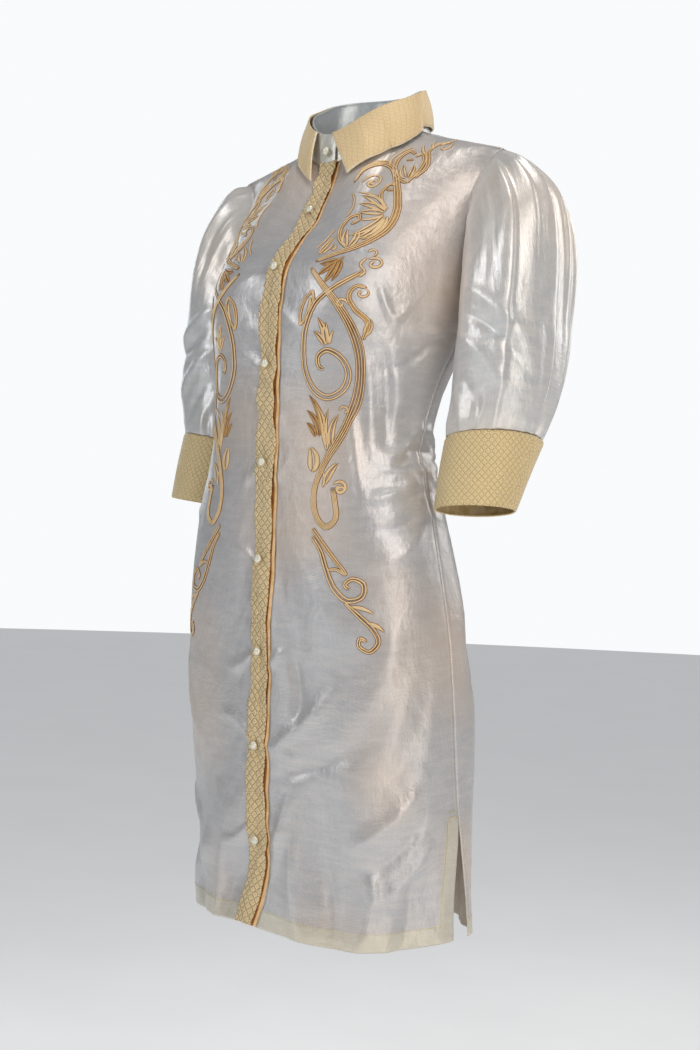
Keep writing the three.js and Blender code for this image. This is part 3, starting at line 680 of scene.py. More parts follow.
def lay_grid(bm, points, cloth=None, wide=None, long=None, tone=None):
    """Adds a grid with a vertex at each of points, by row and column.

    Its UVs are wide and long, and tone picks a face's material by its column and row.
    """
    rows, columns = points.shape[0] - 1, points.shape[1] - 1
    made = bmesh.ops.create_grid(bm, x_segments=columns, y_segments=rows, size=0.5)["verts"]
    spot = {v: (round((v.co.y + 0.5) * rows), round((v.co.x + 0.5) * columns)) for v in made}
    for face in {f for v in made for f in v.link_faces}:
        if tone:
            row, column = map(min, zip(*(spot[v] for v in face.verts)))
            face.material_index = tone(column, row)
        if cloth:
            for loop in face.loops:
                loop[cloth].uv = wide[spot[loop.vert]], long[spot[loop.vert]]
    for vert, at in spot.items():
        vert.co = points[at]


def patch(name, surface, across, down, materials, thickness, inner=0, tone=None,
          tube=False, flip=False):
    """A piece of cloth: a grid moved onto a surface of two numbers from 0 to 1.

    Its UV map holds the cloth's own sizes in metres, measured across and down it. The
    wall lies behind the surface, and its inside takes the material inner places on.
    """
    u, v = np.meshgrid(np.arange(across + 1) / across, np.arange(down + 1) / down)
    points = surface(u, v) * MM
    wide = np.linalg.norm(np.diff(points, axis=1), axis=-1)
    long = np.linalg.norm(np.diff(points, axis=0), axis=-1)
    wide = np.pad(np.cumsum(wide, axis=1), ((0, 0), (1, 0)))
    long = np.pad(np.cumsum(long, axis=0), ((1, 0), (0, 0)))
    wide = wide - wide[:, across // 2, None]
    long = long[:, across // 2, None] - long[-1, across // 2] + np.zeros(u.shape)
    bm = bmesh.new()
    lay_grid(bm, points, bm.loops.layers.uv.new("cloth"), wide, long, tone)
    if tube:
        bmesh.ops.remove_doubles(bm, verts=bm.verts, dist=1e-6)
    if flip:
        bmesh.ops.reverse_faces(bm, faces=bm.faces)
    piece = make(name, bm, *materials)
    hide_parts(name)
    wall = piece.modifiers.new("wall", "SOLIDIFY")
    wall.thickness = thickness * MM
    wall.offset = -1
    wall.use_even_offset = False
    wall.material_offset = inner
    return piece


# ---- finishes: a small language for shader maths -----------------------------


def operation(kind):
    def method(self, *others):
        return self.finish.node("Math", {"operation": kind}, self, *others)
    return method


WARP, WEFT, TWIST = 0.0011, 0.0009, 0.0014     # one thread of each, side to side, in metres


class Socket:
    """A node's output, so that shader maths reads as arithmetic."""

    def __init__(self, finish, out):
        self.finish, self.out = finish, out

    __add__ = __radd__ = operation("ADD")
    __mul__ = __rmul__ = operation("MULTIPLY")
    __sub__ = operation("SUBTRACT")
    __truediv__ = operation("DIVIDE")
    sin, abs, fraction = operation("SINE"), operation("ABSOLUTE"), operation("FRACT")
    at_most = operation("MINIMUM")

    def __rsub__(self, other):
        return self.finish.node("Math", {"operation": "SUBTRACT"}, other, self)

    def between(self, low, high):
        return self.finish.node("MapRange", {"interpolation_type": "SMOOTHSTEP", "clamp": True},
                                self, low, high, 0.0, 1.0)


def colour(code):
    """A written colour, such as c9c5c2, as linear light."""
    parts = [int(code[i:i + 2], 16) / 255 for i in (0, 2, 4)]
    return tuple(c / 12.92 if c <= 0.04045 else ((c + 0.055) / 1.055) ** 2.4 for c in parts)


class Nodes:
    """A node tree that is written out node by node."""

    def __init__(self, owner):
        owner.use_nodes = True
        self.nodes, self.links = owner.node_tree.nodes, owner.node_tree.links

    def node(self, kind, settings, *values, pick=0, **named):
        node = self.nodes.new("ShaderNode" + kind)
        for key, value in settings.items():
            setattr(node, key, value)
        for key, value in [*enumerate(values), *named.items()]:
            socket = node.inputs[key if isinstance(key, int) else key.replace("_", " ")]
            if isinstance(value, Socket):
                self.links.new(value.out, socket)
            else:
                socket.default_value = value
        return Socket(self, node.outputs[pick])

    def parts(self, vector):
        split = self.nodes.new("ShaderNodeSeparateXYZ")
        self.links.new(vector.out, split.inputs[0])
        return [Socket(self, out) for out in split.outputs]


class Finish(Nodes):
    """One material, round a principled shader."""

    def __init__(self, name, **constants):
        self.material = bpy.data.materials.new(name)
        super().__init__(self.material)
        self.shader = self.nodes["Principled BSDF"]
        for socket, value in constants.items():
            self.shader.inputs[socket.replace("_", " ")].default_value = value

    def feed(self, name, value):
        self.links.new(value.out, self.shader.inputs[name])

    def place(self):
        return self.node("TexCoord", {}, pick="Object")

    def cloth(self):
        return self.node("UVMap", {"uv_map": "cloth"})

    def woven(self, across, along, detail=2.0, rough=0.5, turn=0.0):
        """Noise stretched along the cloth's threads, with a frequency each way."""
        place = self.node("Mapping", {}, self.cloth(), Rotation=(0, 0, turn), Scale=(across, along, 1))
        return self.noise(place, 1.0, detail, rough)

    def noise(self, vector, scale, detail=2.0, rough=0.5):
        return self.node("TexNoise", {}, Vector=vector, Scale=scale, Detail=detail, Roughness=rough)

    def mix(self, share, one, two):
        node = self.nodes.new("ShaderNodeMix")
        node.data_type = "RGBA"
        for index, value in ((0, share), (6, one), (7, two)):
            if isinstance(value, Socket):
                self.links.new(value.out, node.inputs[index])
            else:
                node.inputs[index].default_value = (*colour(value), 1) if index else value
        return Socket(self, node.outputs[2])

    def over(self, base, *layers):
        """Layers of (share, colour), each laid over what is below it."""
        for share, tone in layers:
            base = self.mix(share, base, tone)
        return base

    def done(self, base, roughness, *relief):
        """The material, with relief in layers of (height, distance in metres)."""
        self.feed("Base Color", base)
        self.feed("Roughness", roughness)
        normal = {}
        for height, distance in relief:
            bump = self.node("Bump", {}, Height=height, Distance=distance, Strength=1.0, **normal)
            normal = {"Normal": bump}
        if normal:
            self.feed("Normal", bump)
        return self.material


def organza_finish(name, pale, cool, warm):
    """Satin organza: fine warp and weft, a watered figure, and sparkle, a fine bump with painted
    glints.
    """
    finish = Finish(name, Metallic=0.38, Sheen_Weight=0.25, Sheen_Roughness=0.35, IOR=1.5)
    u, v, _ = finish.parts(finish.cloth())
    threads = (u * (TURN / WARP)).sin() * 0.5 + (v * (TURN / WEFT)).sin() * 0.5
    slubs = finish.woven(60, 1500)
    streaks = finish.woven(800, 26)
    water = finish.woven(34, 150, 3.0, 0.6)
    swirl = finish.woven(13, 22, 2.0, 0.45)
    patches = finish.woven(9, 12, 1.0, turn=0.6)
    clouds = finish.noise(finish.place(), 5.0, 1.0)
    sparkle = finish.woven(900, 800, 1.0)
    crumpled = finish.woven(70, 42, 3.0, 0.55, 0.5)
    crinkle = finish.woven(230, 120, 2.0, 0.5, 0.3)
    rings = (swirl * 90 + v * 1500).sin().between(0.35, 0.95) * patches.between(0.48, 0.62)
    tint = finish.mix(clouds.between(0.4, 0.68), cool, warm)
    # The sparkle layers paint near-white glints into the colour as painted highlights, and darker grey
    # specks where the sparkle noise is low.
    base = finish.over(
        tint, (water.between(0.3, 0.75) * 0.4 + 0.25, pale), (rings * 0.07, "ffffff"),
        (streaks.between(0.45, 0.8) * 0.08, "ffffff"), (sparkle.between(0.57, 0.7) * 0.24, "fffaf4"),
        (sparkle.between(0.42, 0.3) * 0.12, "8a8f99"),
    )
    return finish.done(base, 0.27 + water * 0.1 + slubs * 0.03 + crinkle * 0.06,
                       (crumpled, 0.0010), (crinkle, 0.0003), (rings, 0.00004), (slubs, 0.00004),
                       (sparkle, 0.00014), (threads, 0.00002))


def brocade_finish(name, ground, line, painted_glint, pitch, strength):
    """Quilted brocade: an embossed lattice of diamonds with fine lines, and painted glints beside the
    lines, at their crossings and in a fine grain.
    """
    finish = Finish(name, Metallic=0.12, Sheen_Weight=0.2, IOR=1.5)
    uv = finish.cloth()
    u, v, _ = finish.parts(uv)
    wander = finish.noise(uv, 90.0, 1.0) * 0.35
    one = ((u + v * SLANT) / (pitch * MM) + wander).fraction() - 0.5
    two = ((u - v * SLANT) / (pitch * MM) + wander).fraction() - 0.5
    ridge = (0.5 - one.abs()).at_most(0.5 - two.abs())
    edge = 1 - ridge.between(0.03, 0.13)
    # Painted highlights: beside each line, at the crossings and in a fine grain, the colour turns to
    # the painted glint.
    beside = ridge.between(0.1, 0.16) - ridge.between(0.18, 0.3)
    crossing = 1 - ((0.5 - one.abs()) + (0.5 - two.abs())).between(0.06, 0.2)
    grain = finish.woven(1100, 1100)
    patchy = finish.noise(uv, 240.0, 2.0)
    shade = finish.over(
        ground, (edge * (0.25 + patchy * 0.75) * strength, line), (beside * 0.4 * strength, painted_glint),
        (grain.between(0.4, 0.7) * 0.16, painted_glint), (crossing * patchy.between(0.42, 0.6) * 0.9, painted_glint),
    )
    return finish.done(shade, 0.5 - crossing * 0.2 + grain * 0.1,
                       (ridge.between(0.0, 0.32), 0.00045 * strength), (grain, 0.00008),
                       (crossing, 0.00015))


def thread_finish(name, core, edge):
    """Shiny embroidery thread, laid side by side across each cord."""
    finish = Finish(name, Metallic=0.25, Sheen_Weight=0.2, IOR=1.5)
    u, v, _ = finish.parts(finish.cloth())
    twist = ((v + u * 0.7) * (TURN / TWIST)).sin() * 0.5 + 0.5
    uneven = finish.noise(finish.place(), 160.0, 2.0)
    base = finish.mix(twist * 0.3 + uneven.between(0.4, 0.7) * 0.3, core, edge)
    return finish.done(base, 0.34 + uneven * 0.15, (twist, 0.00015))


def plain_finish(name, one, two, roughness, scale=300.0, **constants):
    """A quiet surface with a little variation, for linings, threads and the floor."""
    finish = Finish(name, **constants)
    cloudy = finish.noise(finish.place(), scale, 3.0)
    base = finish.mix(cloudy.between(0.3, 0.7), one, two)
    return finish.done(base, roughness + cloudy * 0.12, (cloudy, 0.0001))


ORGANZA = organza_finish("silver_organza", "d5d0cb", "b2b5bb", "d7c2b0")
# The sleeves' organza is the body's cloth painted paler: painted light for the brighter light on the
# sleeves.
SLEEVE_ORGANZA_PAINTED_LIGHTER = organza_finish("sleeve_organza_painted_lighter", "ebe6e0", "c6cbcf", "e5d8c9")
HEM_ORGANZA = organza_finish("turned_organza", "dad5c6", "c2c0b4", "dccfb8")
LEAF_UNDER = plain_finish("brocade_back", "d9c49a", "b99c66", 0.5, 90.0)
LINING = plain_finish("lining", "b9ab98", "a39584", 0.5, 40.0, Metallic=0.1)
STAND_SATIN = organza_finish("stand_satin", "d2d6d6", "b7c2c8", "d8d4c4")
# Each brocade's colours: its ground, its lattice lines and its painted glint.
COLLAR_BROCADE = brocade_finish("collar_brocade", "e2c797", "ab8548", "f7e6c0",
                                LATTICE, 0.45)
CUFF_BROCADE = brocade_finish("cuff_brocade", "dcc48f", "957338", "f8e9c2",
                              LATTICE, 0.9)
BAND_BROCADE = brocade_finish("band_brocade", "d6bd8e", "80622e", "fcedc6",
                              BAND_LATTICE, 1.15)
EDGE_GOLD = plain_finish("edge_gold", "edcb9b", "dcae72", 0.4, 120.0)
# The under band's brown: partly its own colour, partly painted shade cast by the top band.
UNDER_BAND_BROWN_AND_SHADE = plain_finish("edge_brown", "b07434", "8a5424", 0.42, 160.0)
# A pale cream for the collar leaf's edges: a painted highlight along them.
PAINTED_EDGE_HIGHLIGHT = plain_finish("painted_edge_highlight", "f2ead6", "e2d2ac", 0.5, 200.0)
THREAD = thread_finish("gold_thread", "efd3a4", "d8ae70")
DARK_THREAD = thread_finish("bronze_thread", "cda15f", "a3743a")
OUTLINE = thread_finish("brown_thread", "965f28", "70431a")
STITCH = plain_finish("stitching", "efe6c8", "d9c897", 0.45)


def pearl_finish():
    finish = Finish("pearl", Metallic=0.15, Coat_Weight=0.9, Coat_Roughness=0.06, IOR=1.53)
    # Towards its rim the pearl's colour turns a darker gold: a painted reflection and shade.
    painted_rim_sheen = finish.node("LayerWeight", {}, pick="Facing", Blend=0.4)
    cloudy = finish.noise(finish.place(), 220.0, 2.0)
    base = finish.over("f3ecd9", (cloudy.between(0.3, 0.7), "dde2d6"), (painted_rim_sheen * 0.7, "c9b88e"))
    return finish.done(base, 0.16 + cloudy * 0.08)


PEARL = pearl_finish()


# ---- fronts and back ---------------------------------------------------------

YOKE_SHARE = 0.25               # the share of a panel's rows above the armpits
HEM_STEP = 1.969, 1.974         # where the turned hem steps out, down a panel
HEM_ROW, ROWS = 270, 280        # the rows of a panel below HEM_ROW are its turned hem
EDGE_COLUMN, COLUMNS = 72, 80   # and the columns of a front past EDGE_COLUMN its slit's edge
PANEL_FINISHES = ORGANZA, HEM_ORGANZA, LINING, LINING


def panel_down(v):
    return np.interp(v, (0, YOKE_SHARE, HEM_ROW / ROWS, 1), (0.001, 1, 2 - HEM_TURN / SKIRT, 2))


def hem_step(down):
    """The small step where the turned hem begins."""
    return 0.5 * smoothstep(down, *HEM_STEP)


def front_panel(name, side, from_centre, flip):
    turned = SLIT_TURN / HALF_PANEL
    edge = EDGE_COLUMN / COLUMNS

    def surface(u, v):
        down = panel_down(v)
        start, end = share_of(from_centre, "front", down), outer_edge("front", down)
        q = np.where(u < edge, lerp(start, end - turned, u / edge),
                     lerp(end - turned, end, (u - edge) / (1 - edge)))
        level = body_base("front", side, q, down)[..., 2]
        slit = smoothstep(-level, -SLIT_TOP - 2, -SLIT_TOP + 6)
        lift = np.maximum(hem_step(down), 0.5 * smoothstep(u, edge, edge + 0.015) * slit)
        return body("front", side, q, down, lift)

    armpit_row = ROWS * YOKE_SHARE
    slit_row = int(armpit_row + (HEM_ROW - armpit_row) * (ARMPIT - SLIT_TOP) / (SKIRT - HEM_TURN))

    def tone(column, row):
        return int(row >= HEM_ROW or (column >= EDGE_COLUMN and row >= slit_row))

    return patch(name, surface, COLUMNS, ROWS, PANEL_FINISHES, CLOTH, 2, tone, flip=flip)


front_right = front_panel("front_right", -1, BAND_HALF - TUCK, False)
front_left = front_panel("front_left", 1, BAND_HALF + UNDER_SHOWS + SEAM, True)


def back_surface(u, v):
    down = panel_down(v)
    end = outer_edge("back", down)
    across = 2 * u - 1
    q = np.abs(across) * end
    return either_side("back", across, q, down, hem_step(down))


back = patch("back", back_surface, 140, ROWS, PANEL_FINISHES, CLOTH, 2,
             lambda column, row: int(row >= HEM_ROW))

# ---- placket -----------------------------------------------------------------

BUTTON_LEVELS = (-94, -158, -259, -362, -464, -561, -660, -760)


def strip_down(v):
    return np.interp(v, (0, YOKE_SHARE, 1), (0.003, 1, 2))


def front_strip(at, down, lift):
    """A point at a distance from the centre front, the wearer's left positive."""
    return either_side("front", at, share_of(np.abs(at), "front", down), down, lift)


def lattice_relief(across, along, pitch, height):
    """Pillows between the lines of a diamond lattice."""
    one = (across + along * SLANT) / pitch % 1 - 0.5
    two = (across - along * SLANT) / pitch % 1 - 0.5
    ridge = np.minimum(0.5 - np.abs(one), 0.5 - np.abs(two))
    return height * smoothstep(ridge, 0, 0.3)


def band_surface(u, v):
    down = strip_down(v)
    along = v * BAND_LENGTH
    pull = 1 - smoothstep(along, 300, 520) * 0.55
    left_wave = pull * (1.2 * np.sin(along / 10.5) + 1.2 * np.sin(along / 23 + 0.8)) - 0.6
    right_wave = pull * (1.3 * np.sin(along / 12 + 1.9) + 1.2 * np.sin(along / 21 + 2.6))
    at = lerp(-BAND_HALF + 0.6 + left_wave, BAND_HALF + 0.2 + right_wave, u)
    pucker = 0.9 * pull * np.abs(2 * u - 1) ** 2 * np.sin(along / 6.2 + 2 * u)
    pucker = pucker + 0.8 * pull * (1 + np.sin(along / 16 + 1.4 * u))
    level = body_base("front", 1, 0 * down, down)[..., 2]
    for button_level in BUTTON_LEVELS:
        pucker = pucker * (1 - 0.9 * hump((level - button_level) / 9))
    lift = SEAM + BROCADE + pucker + lattice_relief(at, along, BAND_LATTICE, BAND_RELIEF) - 0.4
    lift = lift - 0.7 * smoothstep(np.abs(2 * u - 1), 0.86, 1)
    return front_strip(at, down, lift)


placket = patch("placket", band_surface, 20, 640, (BAND_BROCADE,), BAND_WALL,
                flip=True)


def under_band_surface(u, v):
    down = strip_down(v)
    along = v * BAND_LENGTH
    edge = BAND_HALF + UNDER_SHOWS - 0.6 + 0.5 * np.sin(along / 14 + 1.9)
    at = lerp(-BAND_HALF + TUCK + SEAM, edge, u)
    return front_strip(at, down, -0.1 - 0.3 * smoothstep(u, 0.93, 1))


UNDER_COLUMNS = 16
# Its columns nearest the top band take that brown, partly its own colour and partly painted shade; the
# outer two stay gold.
under_placket = patch("under_placket", under_band_surface, UNDER_COLUMNS, 300,
                      (EDGE_GOLD, UNDER_BAND_BROWN_AND_SHADE), BAND_WALL, flip=True,
                      tone=lambda column, row: int(column < UNDER_COLUMNS - 2))

# ---- the collar's pieces -----------------------------------------------------


def stand_surface(u, v):
    turn = lerp(-9 * DEG, 369 * DEG, u)
    lift = 0.25 * np.sin(turn * 19) * np.sin(math.pi * v) - 0.6 * (1 - smoothstep(v, 0, 0.08))
    return stand_point(turn, 1 - v, lift)


collar_stand = patch("collar_stand", stand_surface, 300, 24, (STAND_SATIN,),
                     CUFF_WALL, flip=True)


def leaf_surface(u, v):
    edge = np.minimum(np.minimum(u, 1 - u) * 9, 1 - v)
    wave = 0.5 * np.sin(u * 61) * v * v
    wave = wave + 1.4 * hump((u - 0.93) / 0.018, (v - 0.6) / 0.5)
    lift = BROCADE - 0.3 + wave
    lift = lift + lattice_relief(u * LEAF_LENGTH, v * LEAF_FALL, LATTICE, LEAF_RELIEF)
    lift = lift - 1.0 * (1 - smoothstep(edge, 0, 0.05))
    return leaf_point(u, v, lift)


LEAF_COLUMNS, LEAF_ROWS = 330, 38
# The leaf's end columns and lowest row take the pale cream: a painted highlight along its edges.
collar_leaf = patch("collar_leaf", leaf_surface, LEAF_COLUMNS, LEAF_ROWS,
                    (COLLAR_BROCADE, PAINTED_EDGE_HIGHLIGHT, LEAF_UNDER, PAINTED_EDGE_HIGHLIGHT), BAND_WALL, 2,
                    lambda column, row: int(column in (0, LEAF_COLUMNS - 1) or row == LEAF_ROWS - 1))

# ---- the pieces of the sleeves -----------------------------------------------


def round_turn(u):
    """An angle round a sleeve, with more columns at its back and front."""
    return TURN * u - 0.42 * np.sin(TURN * u)


def sleeve_surface(side, u, v):
    return sleeve_point(side, round_turn(u), v)


def cuff_surface(side, u, v):
    turn = round_turn(u)
    lift = 0.2 + lattice_relief(u * CUFF_ROUND, v * CUFF_DROP, LATTICE, CUFF_RELIEF)
    lift = lift - 0.9 * (1 - smoothstep(np.minimum(v, 1 - v), 0, 0.03))
    lift = lift + 0.8 * np.sin(3 * turn + side) * np.sin(math.pi * v)
    return cuff_point(side, turn, v, lift)


# The sleeves take the organza painted paler, as painted light.
for word, side in SIDES:
    sleeve = patch(f"sleeve_{word}", partial(sleeve_surface, side), 160, 110,
                   (SLEEVE_ORGANZA_PAINTED_LIGHTER, LINING), CLOTH, 1, tube=True, flip=side < 0)
    cuff = patch(f"cuff_{word}", partial(cuff_surface, side), 220, 50,
                 (CUFF_BROCADE, LEAF_UNDER), CUFF_WALL, 1, tube=True, flip=side < 0)

# ---- seams and stitches ------------------------------------------------------


def cords(name, runs, radius, material, slot):
    """Thin round cords along runs of places, such as a seam's ridge or a line of stitches."""
    bm = bmesh.new()
    turn = np.linspace(0, TURN, 7)[:, None]
    for run in runs:
        run = np.asarray(run, float)
        along = unit(np.gradient(run, axis=0))
        side_way = unit(np.cross(along, np.array((0.31, 0.22, 0.93))))
        third = np.cross(along, side_way)
        size = np.full((len(run), 1, 1), radius)
        size[[0, -1]] *= 0.3
        ring = np.cos(turn) * side_way[:, None] + np.sin(turn) * third[:, None]
        lay_grid(bm, (run[:, None] + size * ring) * MM)
    bmesh.ops.remove_doubles(bm, verts=bm.verts, dist=1e-6)
    bmesh.ops.holes_fill(bm, edges=bm.edges, sides=6)
    bmesh.ops.recalc_face_normals(bm, faces=bm.faces)
    make(name, bm, material)


def dashes(place, start, stop, length=2.2, gap=1.3):
    """Short runs along a line, where place gives a point for each distance along it."""
    return [place(np.linspace(at, at + length, 3)) for at in np.arange(start, stop, length + gap)]


def hem_place(face, side):
    return lambda distance: body(face, side, distance / HALF_PANEL, 2 - (HEM_TURN - 1) / SKIRT, 0.75)


def slit_place(face, side, inset):
    def place(distance):
        down = down_at(face, side, 0.95, SLIT_TOP - distance)
        return body(face, side, outer_edge(face, down) - inset / HALF_PANEL, down, 0.6)
    return place


def zigzag(place_in, place_out, start, stop, step):
    ends = np.arange(start, stop, step)
    return np.where((np.arange(len(ends)) % 2 == 0)[:, None], place_in(ends), place_out(ends))


def seam_ridge(side):
    turn = np.linspace(0, TURN, 140)
    ring = armhole_point(turn) + vec(-0.2 + 0 * turn, 0 * turn, -0.1 + 0 * turn)
    ring[:, 0] *= side
    q = np.linspace(NECK_SHARE + 0.02, 1, 60)
    top = body("front", side, q, np.zeros(60), 0.1)
    return [ring, top]


for word, side in SIDES:
    cords(f"seam_ridge_{word}", seam_ridge(side), 0.9, ORGANZA, "organza")
    hems = dashes(hem_place("front", side), 22, 228) + dashes(hem_place("back", side), 1, 228)
    slits = [zigzag(slit_place("front", side, 15.4), slit_place("front", side, 13.6), 4, 122, 1.8)]
    slits += dashes(slit_place("back", side, 4), 4, 122)
    slits += dashes(slit_place("front", side, 5), -110, -2, gap=1.6)
    bars = [[slit_place("front", side, inset)(np.array([2.5 * k]))[0] for inset in (13, 7, 1)]
            for k in (-1.5, -1, 1, 1.5, 2)]
    cords(f"stitches_{word}", hems + slits + bars, 0.34, STITCH, "organza")

# ---- embroidery --------------------------------------------------------------
# A scrolling vine worked by hand on the left front, and the same mirrored on the right.
# Places are millimetres from the centre front and above the neck point's level, as the
# cloth lies before the band's sway.


RUN_STEP = 1.1                  # about how far apart the places of a run are


def rounded(*points):
    """A smooth run of places through a few."""
    p = np.array(points, float)
    p = np.vstack([2 * p[0] - p[1], p, 2 * p[-1] - p[-2]])
    run = []
    for a, b, c, d in zip(p, p[1:], p[2:], p[3:]):
        t = np.arange(0, 1, 1 / max(2, math.ceil(np.linalg.norm(c - b) / RUN_STEP)))[:, None]
        run.append(0.5 * (2 * b + (c - a) * t + (2 * a - 5 * b + 4 * c - d) * t ** 2
                          + (3 * b - a - 3 * c + d) * t ** 3))
    return np.vstack([*run, p[-2:-1]])


def curl(x, z, radius, start, sweep, end=1.6):
    """A spiral that winds in round a place, from a start angle, in degrees."""
    t = np.linspace(0, 1, max(12, int(radius * abs(sweep) / 60)))
    reach = lerp(radius, end, t ** 0.85)
    turn = (start + sweep * t) * DEG
    return np.stack((x + reach * np.cos(turn), z + reach * np.sin(turn)), -1)


def beside(path, away):
    """A path moved sideways."""
    along = np.gradient(path, axis=0)
    along /= np.maximum(np.linalg.norm(along, axis=1, keepdims=True), 1e-6)
    return path + np.stack((-along[:, 1], along[:, 0]), -1) * np.reshape(away, (-1, 1))


def strand(path, half, height=0.8, tone=0, taper=(0.12, 0.12), foot=0.0):
    """One cord of satin stitch, edged in dark thread that lies at its foot."""
    t = np.linspace(0, 1, len(path))
    shape = smoothstep(t, -0.001, taper[0]) ** 0.7 * (1 - smoothstep(t, 1 - taper[1], 1.001)) ** 0.7
    width = np.interp(t, np.linspace(0, 1, len(half)), half) if np.ndim(half) else half
    shape = np.maximum(shape, 0.05)
    return path, width * shape, height * shape, foot + 0 * t, tone


def vine(points, spread, cords=3, half=0.6, bed=True):
    """A stem of fine cords, over a narrow bed of dark satin stitch where they lie close."""
    path = rounded(*points)
    t = np.linspace(0, 1, len(path))
    open_out = np.interp(t, np.linspace(0, 1, len(spread)), spread) * 0.8
    made = [strand(path, open_out, 0.3, 1, (0.04, 0.04))] if bed else []
    for k in np.linspace(-1, 1, cords):
        made.append(strand(beside(path, open_out * k), half, 0.6 - 0.1 * abs(k), 0, (0.03, 0.03), 0.3))
    return made


def bowed(x, z, to_x, to_z, bow):
    """A run from a leaf's foot to its tip, and how far along each place is."""
    base, tip = np.array((x, z), float), np.array((to_x, to_z), float)
    t = np.linspace(0, 1, max(9, int(np.linalg.norm(tip - base) / RUN_STEP)))
    return t, beside(base + (tip - base) * t[:, None], bow * 4 * t * (1 - t))


def leaf(x, z, to_x, to_z, belly, bow=0.0, tone=0):
    """A leaf in two halves with a line between them."""
    t, path = bowed(x, z, to_x, to_z, bow)
    width = belly * np.sin(math.pi * t ** 0.8) ** 0.8 / 2
    half = np.maximum(width * 0.62 - 0.1, 0.28)
    return [strand(beside(path, k * width), half, 0.75, tone, (0.1, 0.1)) for k in (-1, 1)]


def blade(x, z, to_x, to_z, belly, bow=0.0, tone=0):
    """A narrow leaf in one piece."""
    t, path = bowed(x, z, to_x, to_z, bow)
    return [strand(path, belly * np.sin(math.pi * t ** 0.7) ** 0.8 / 2 + 0.15, 0.75, tone)]


UPPER_VINE = (
    (56, -64), (60, -49), (73, -41), (90, -49), (104, -70), (114, -95), (113, -119), (98, -138),
    (78, -148), (56, -156),
)
MIDDLE_VINE = (
    (52, -162), (70, -178), (88, -197), (101, -221), (107, -250), (106, -282), (100, -313),
    (89, -340), (76, -366), (68, -392), (71, -415), (83, -428), (94, -419), (92, -401), (88, -387),
)
CROSSING_VINE = (
    (108, -166), (99, -174), (84, -185), (67, -200), (56, -222), (51, -246), (53, -268),
    (63, -287), (78, -295), (92, -287), (97, -270), (91, -254), (79, -247), (69, -253), (69, -263),
    (75, -267),
)
LOWER_VINE = (
    (68, -438), (79, -453), (86, -470), (96, -490), (110, -502), (123, -498), (124, -485),
    (114, -480), (107, -486), (112, -491),
)
LAST_VINE = (
    (108, -504), (122, -517), (134, -530), (139, -543), (132, -553), (123, -548), (124, -540),
    (130, -543),
)

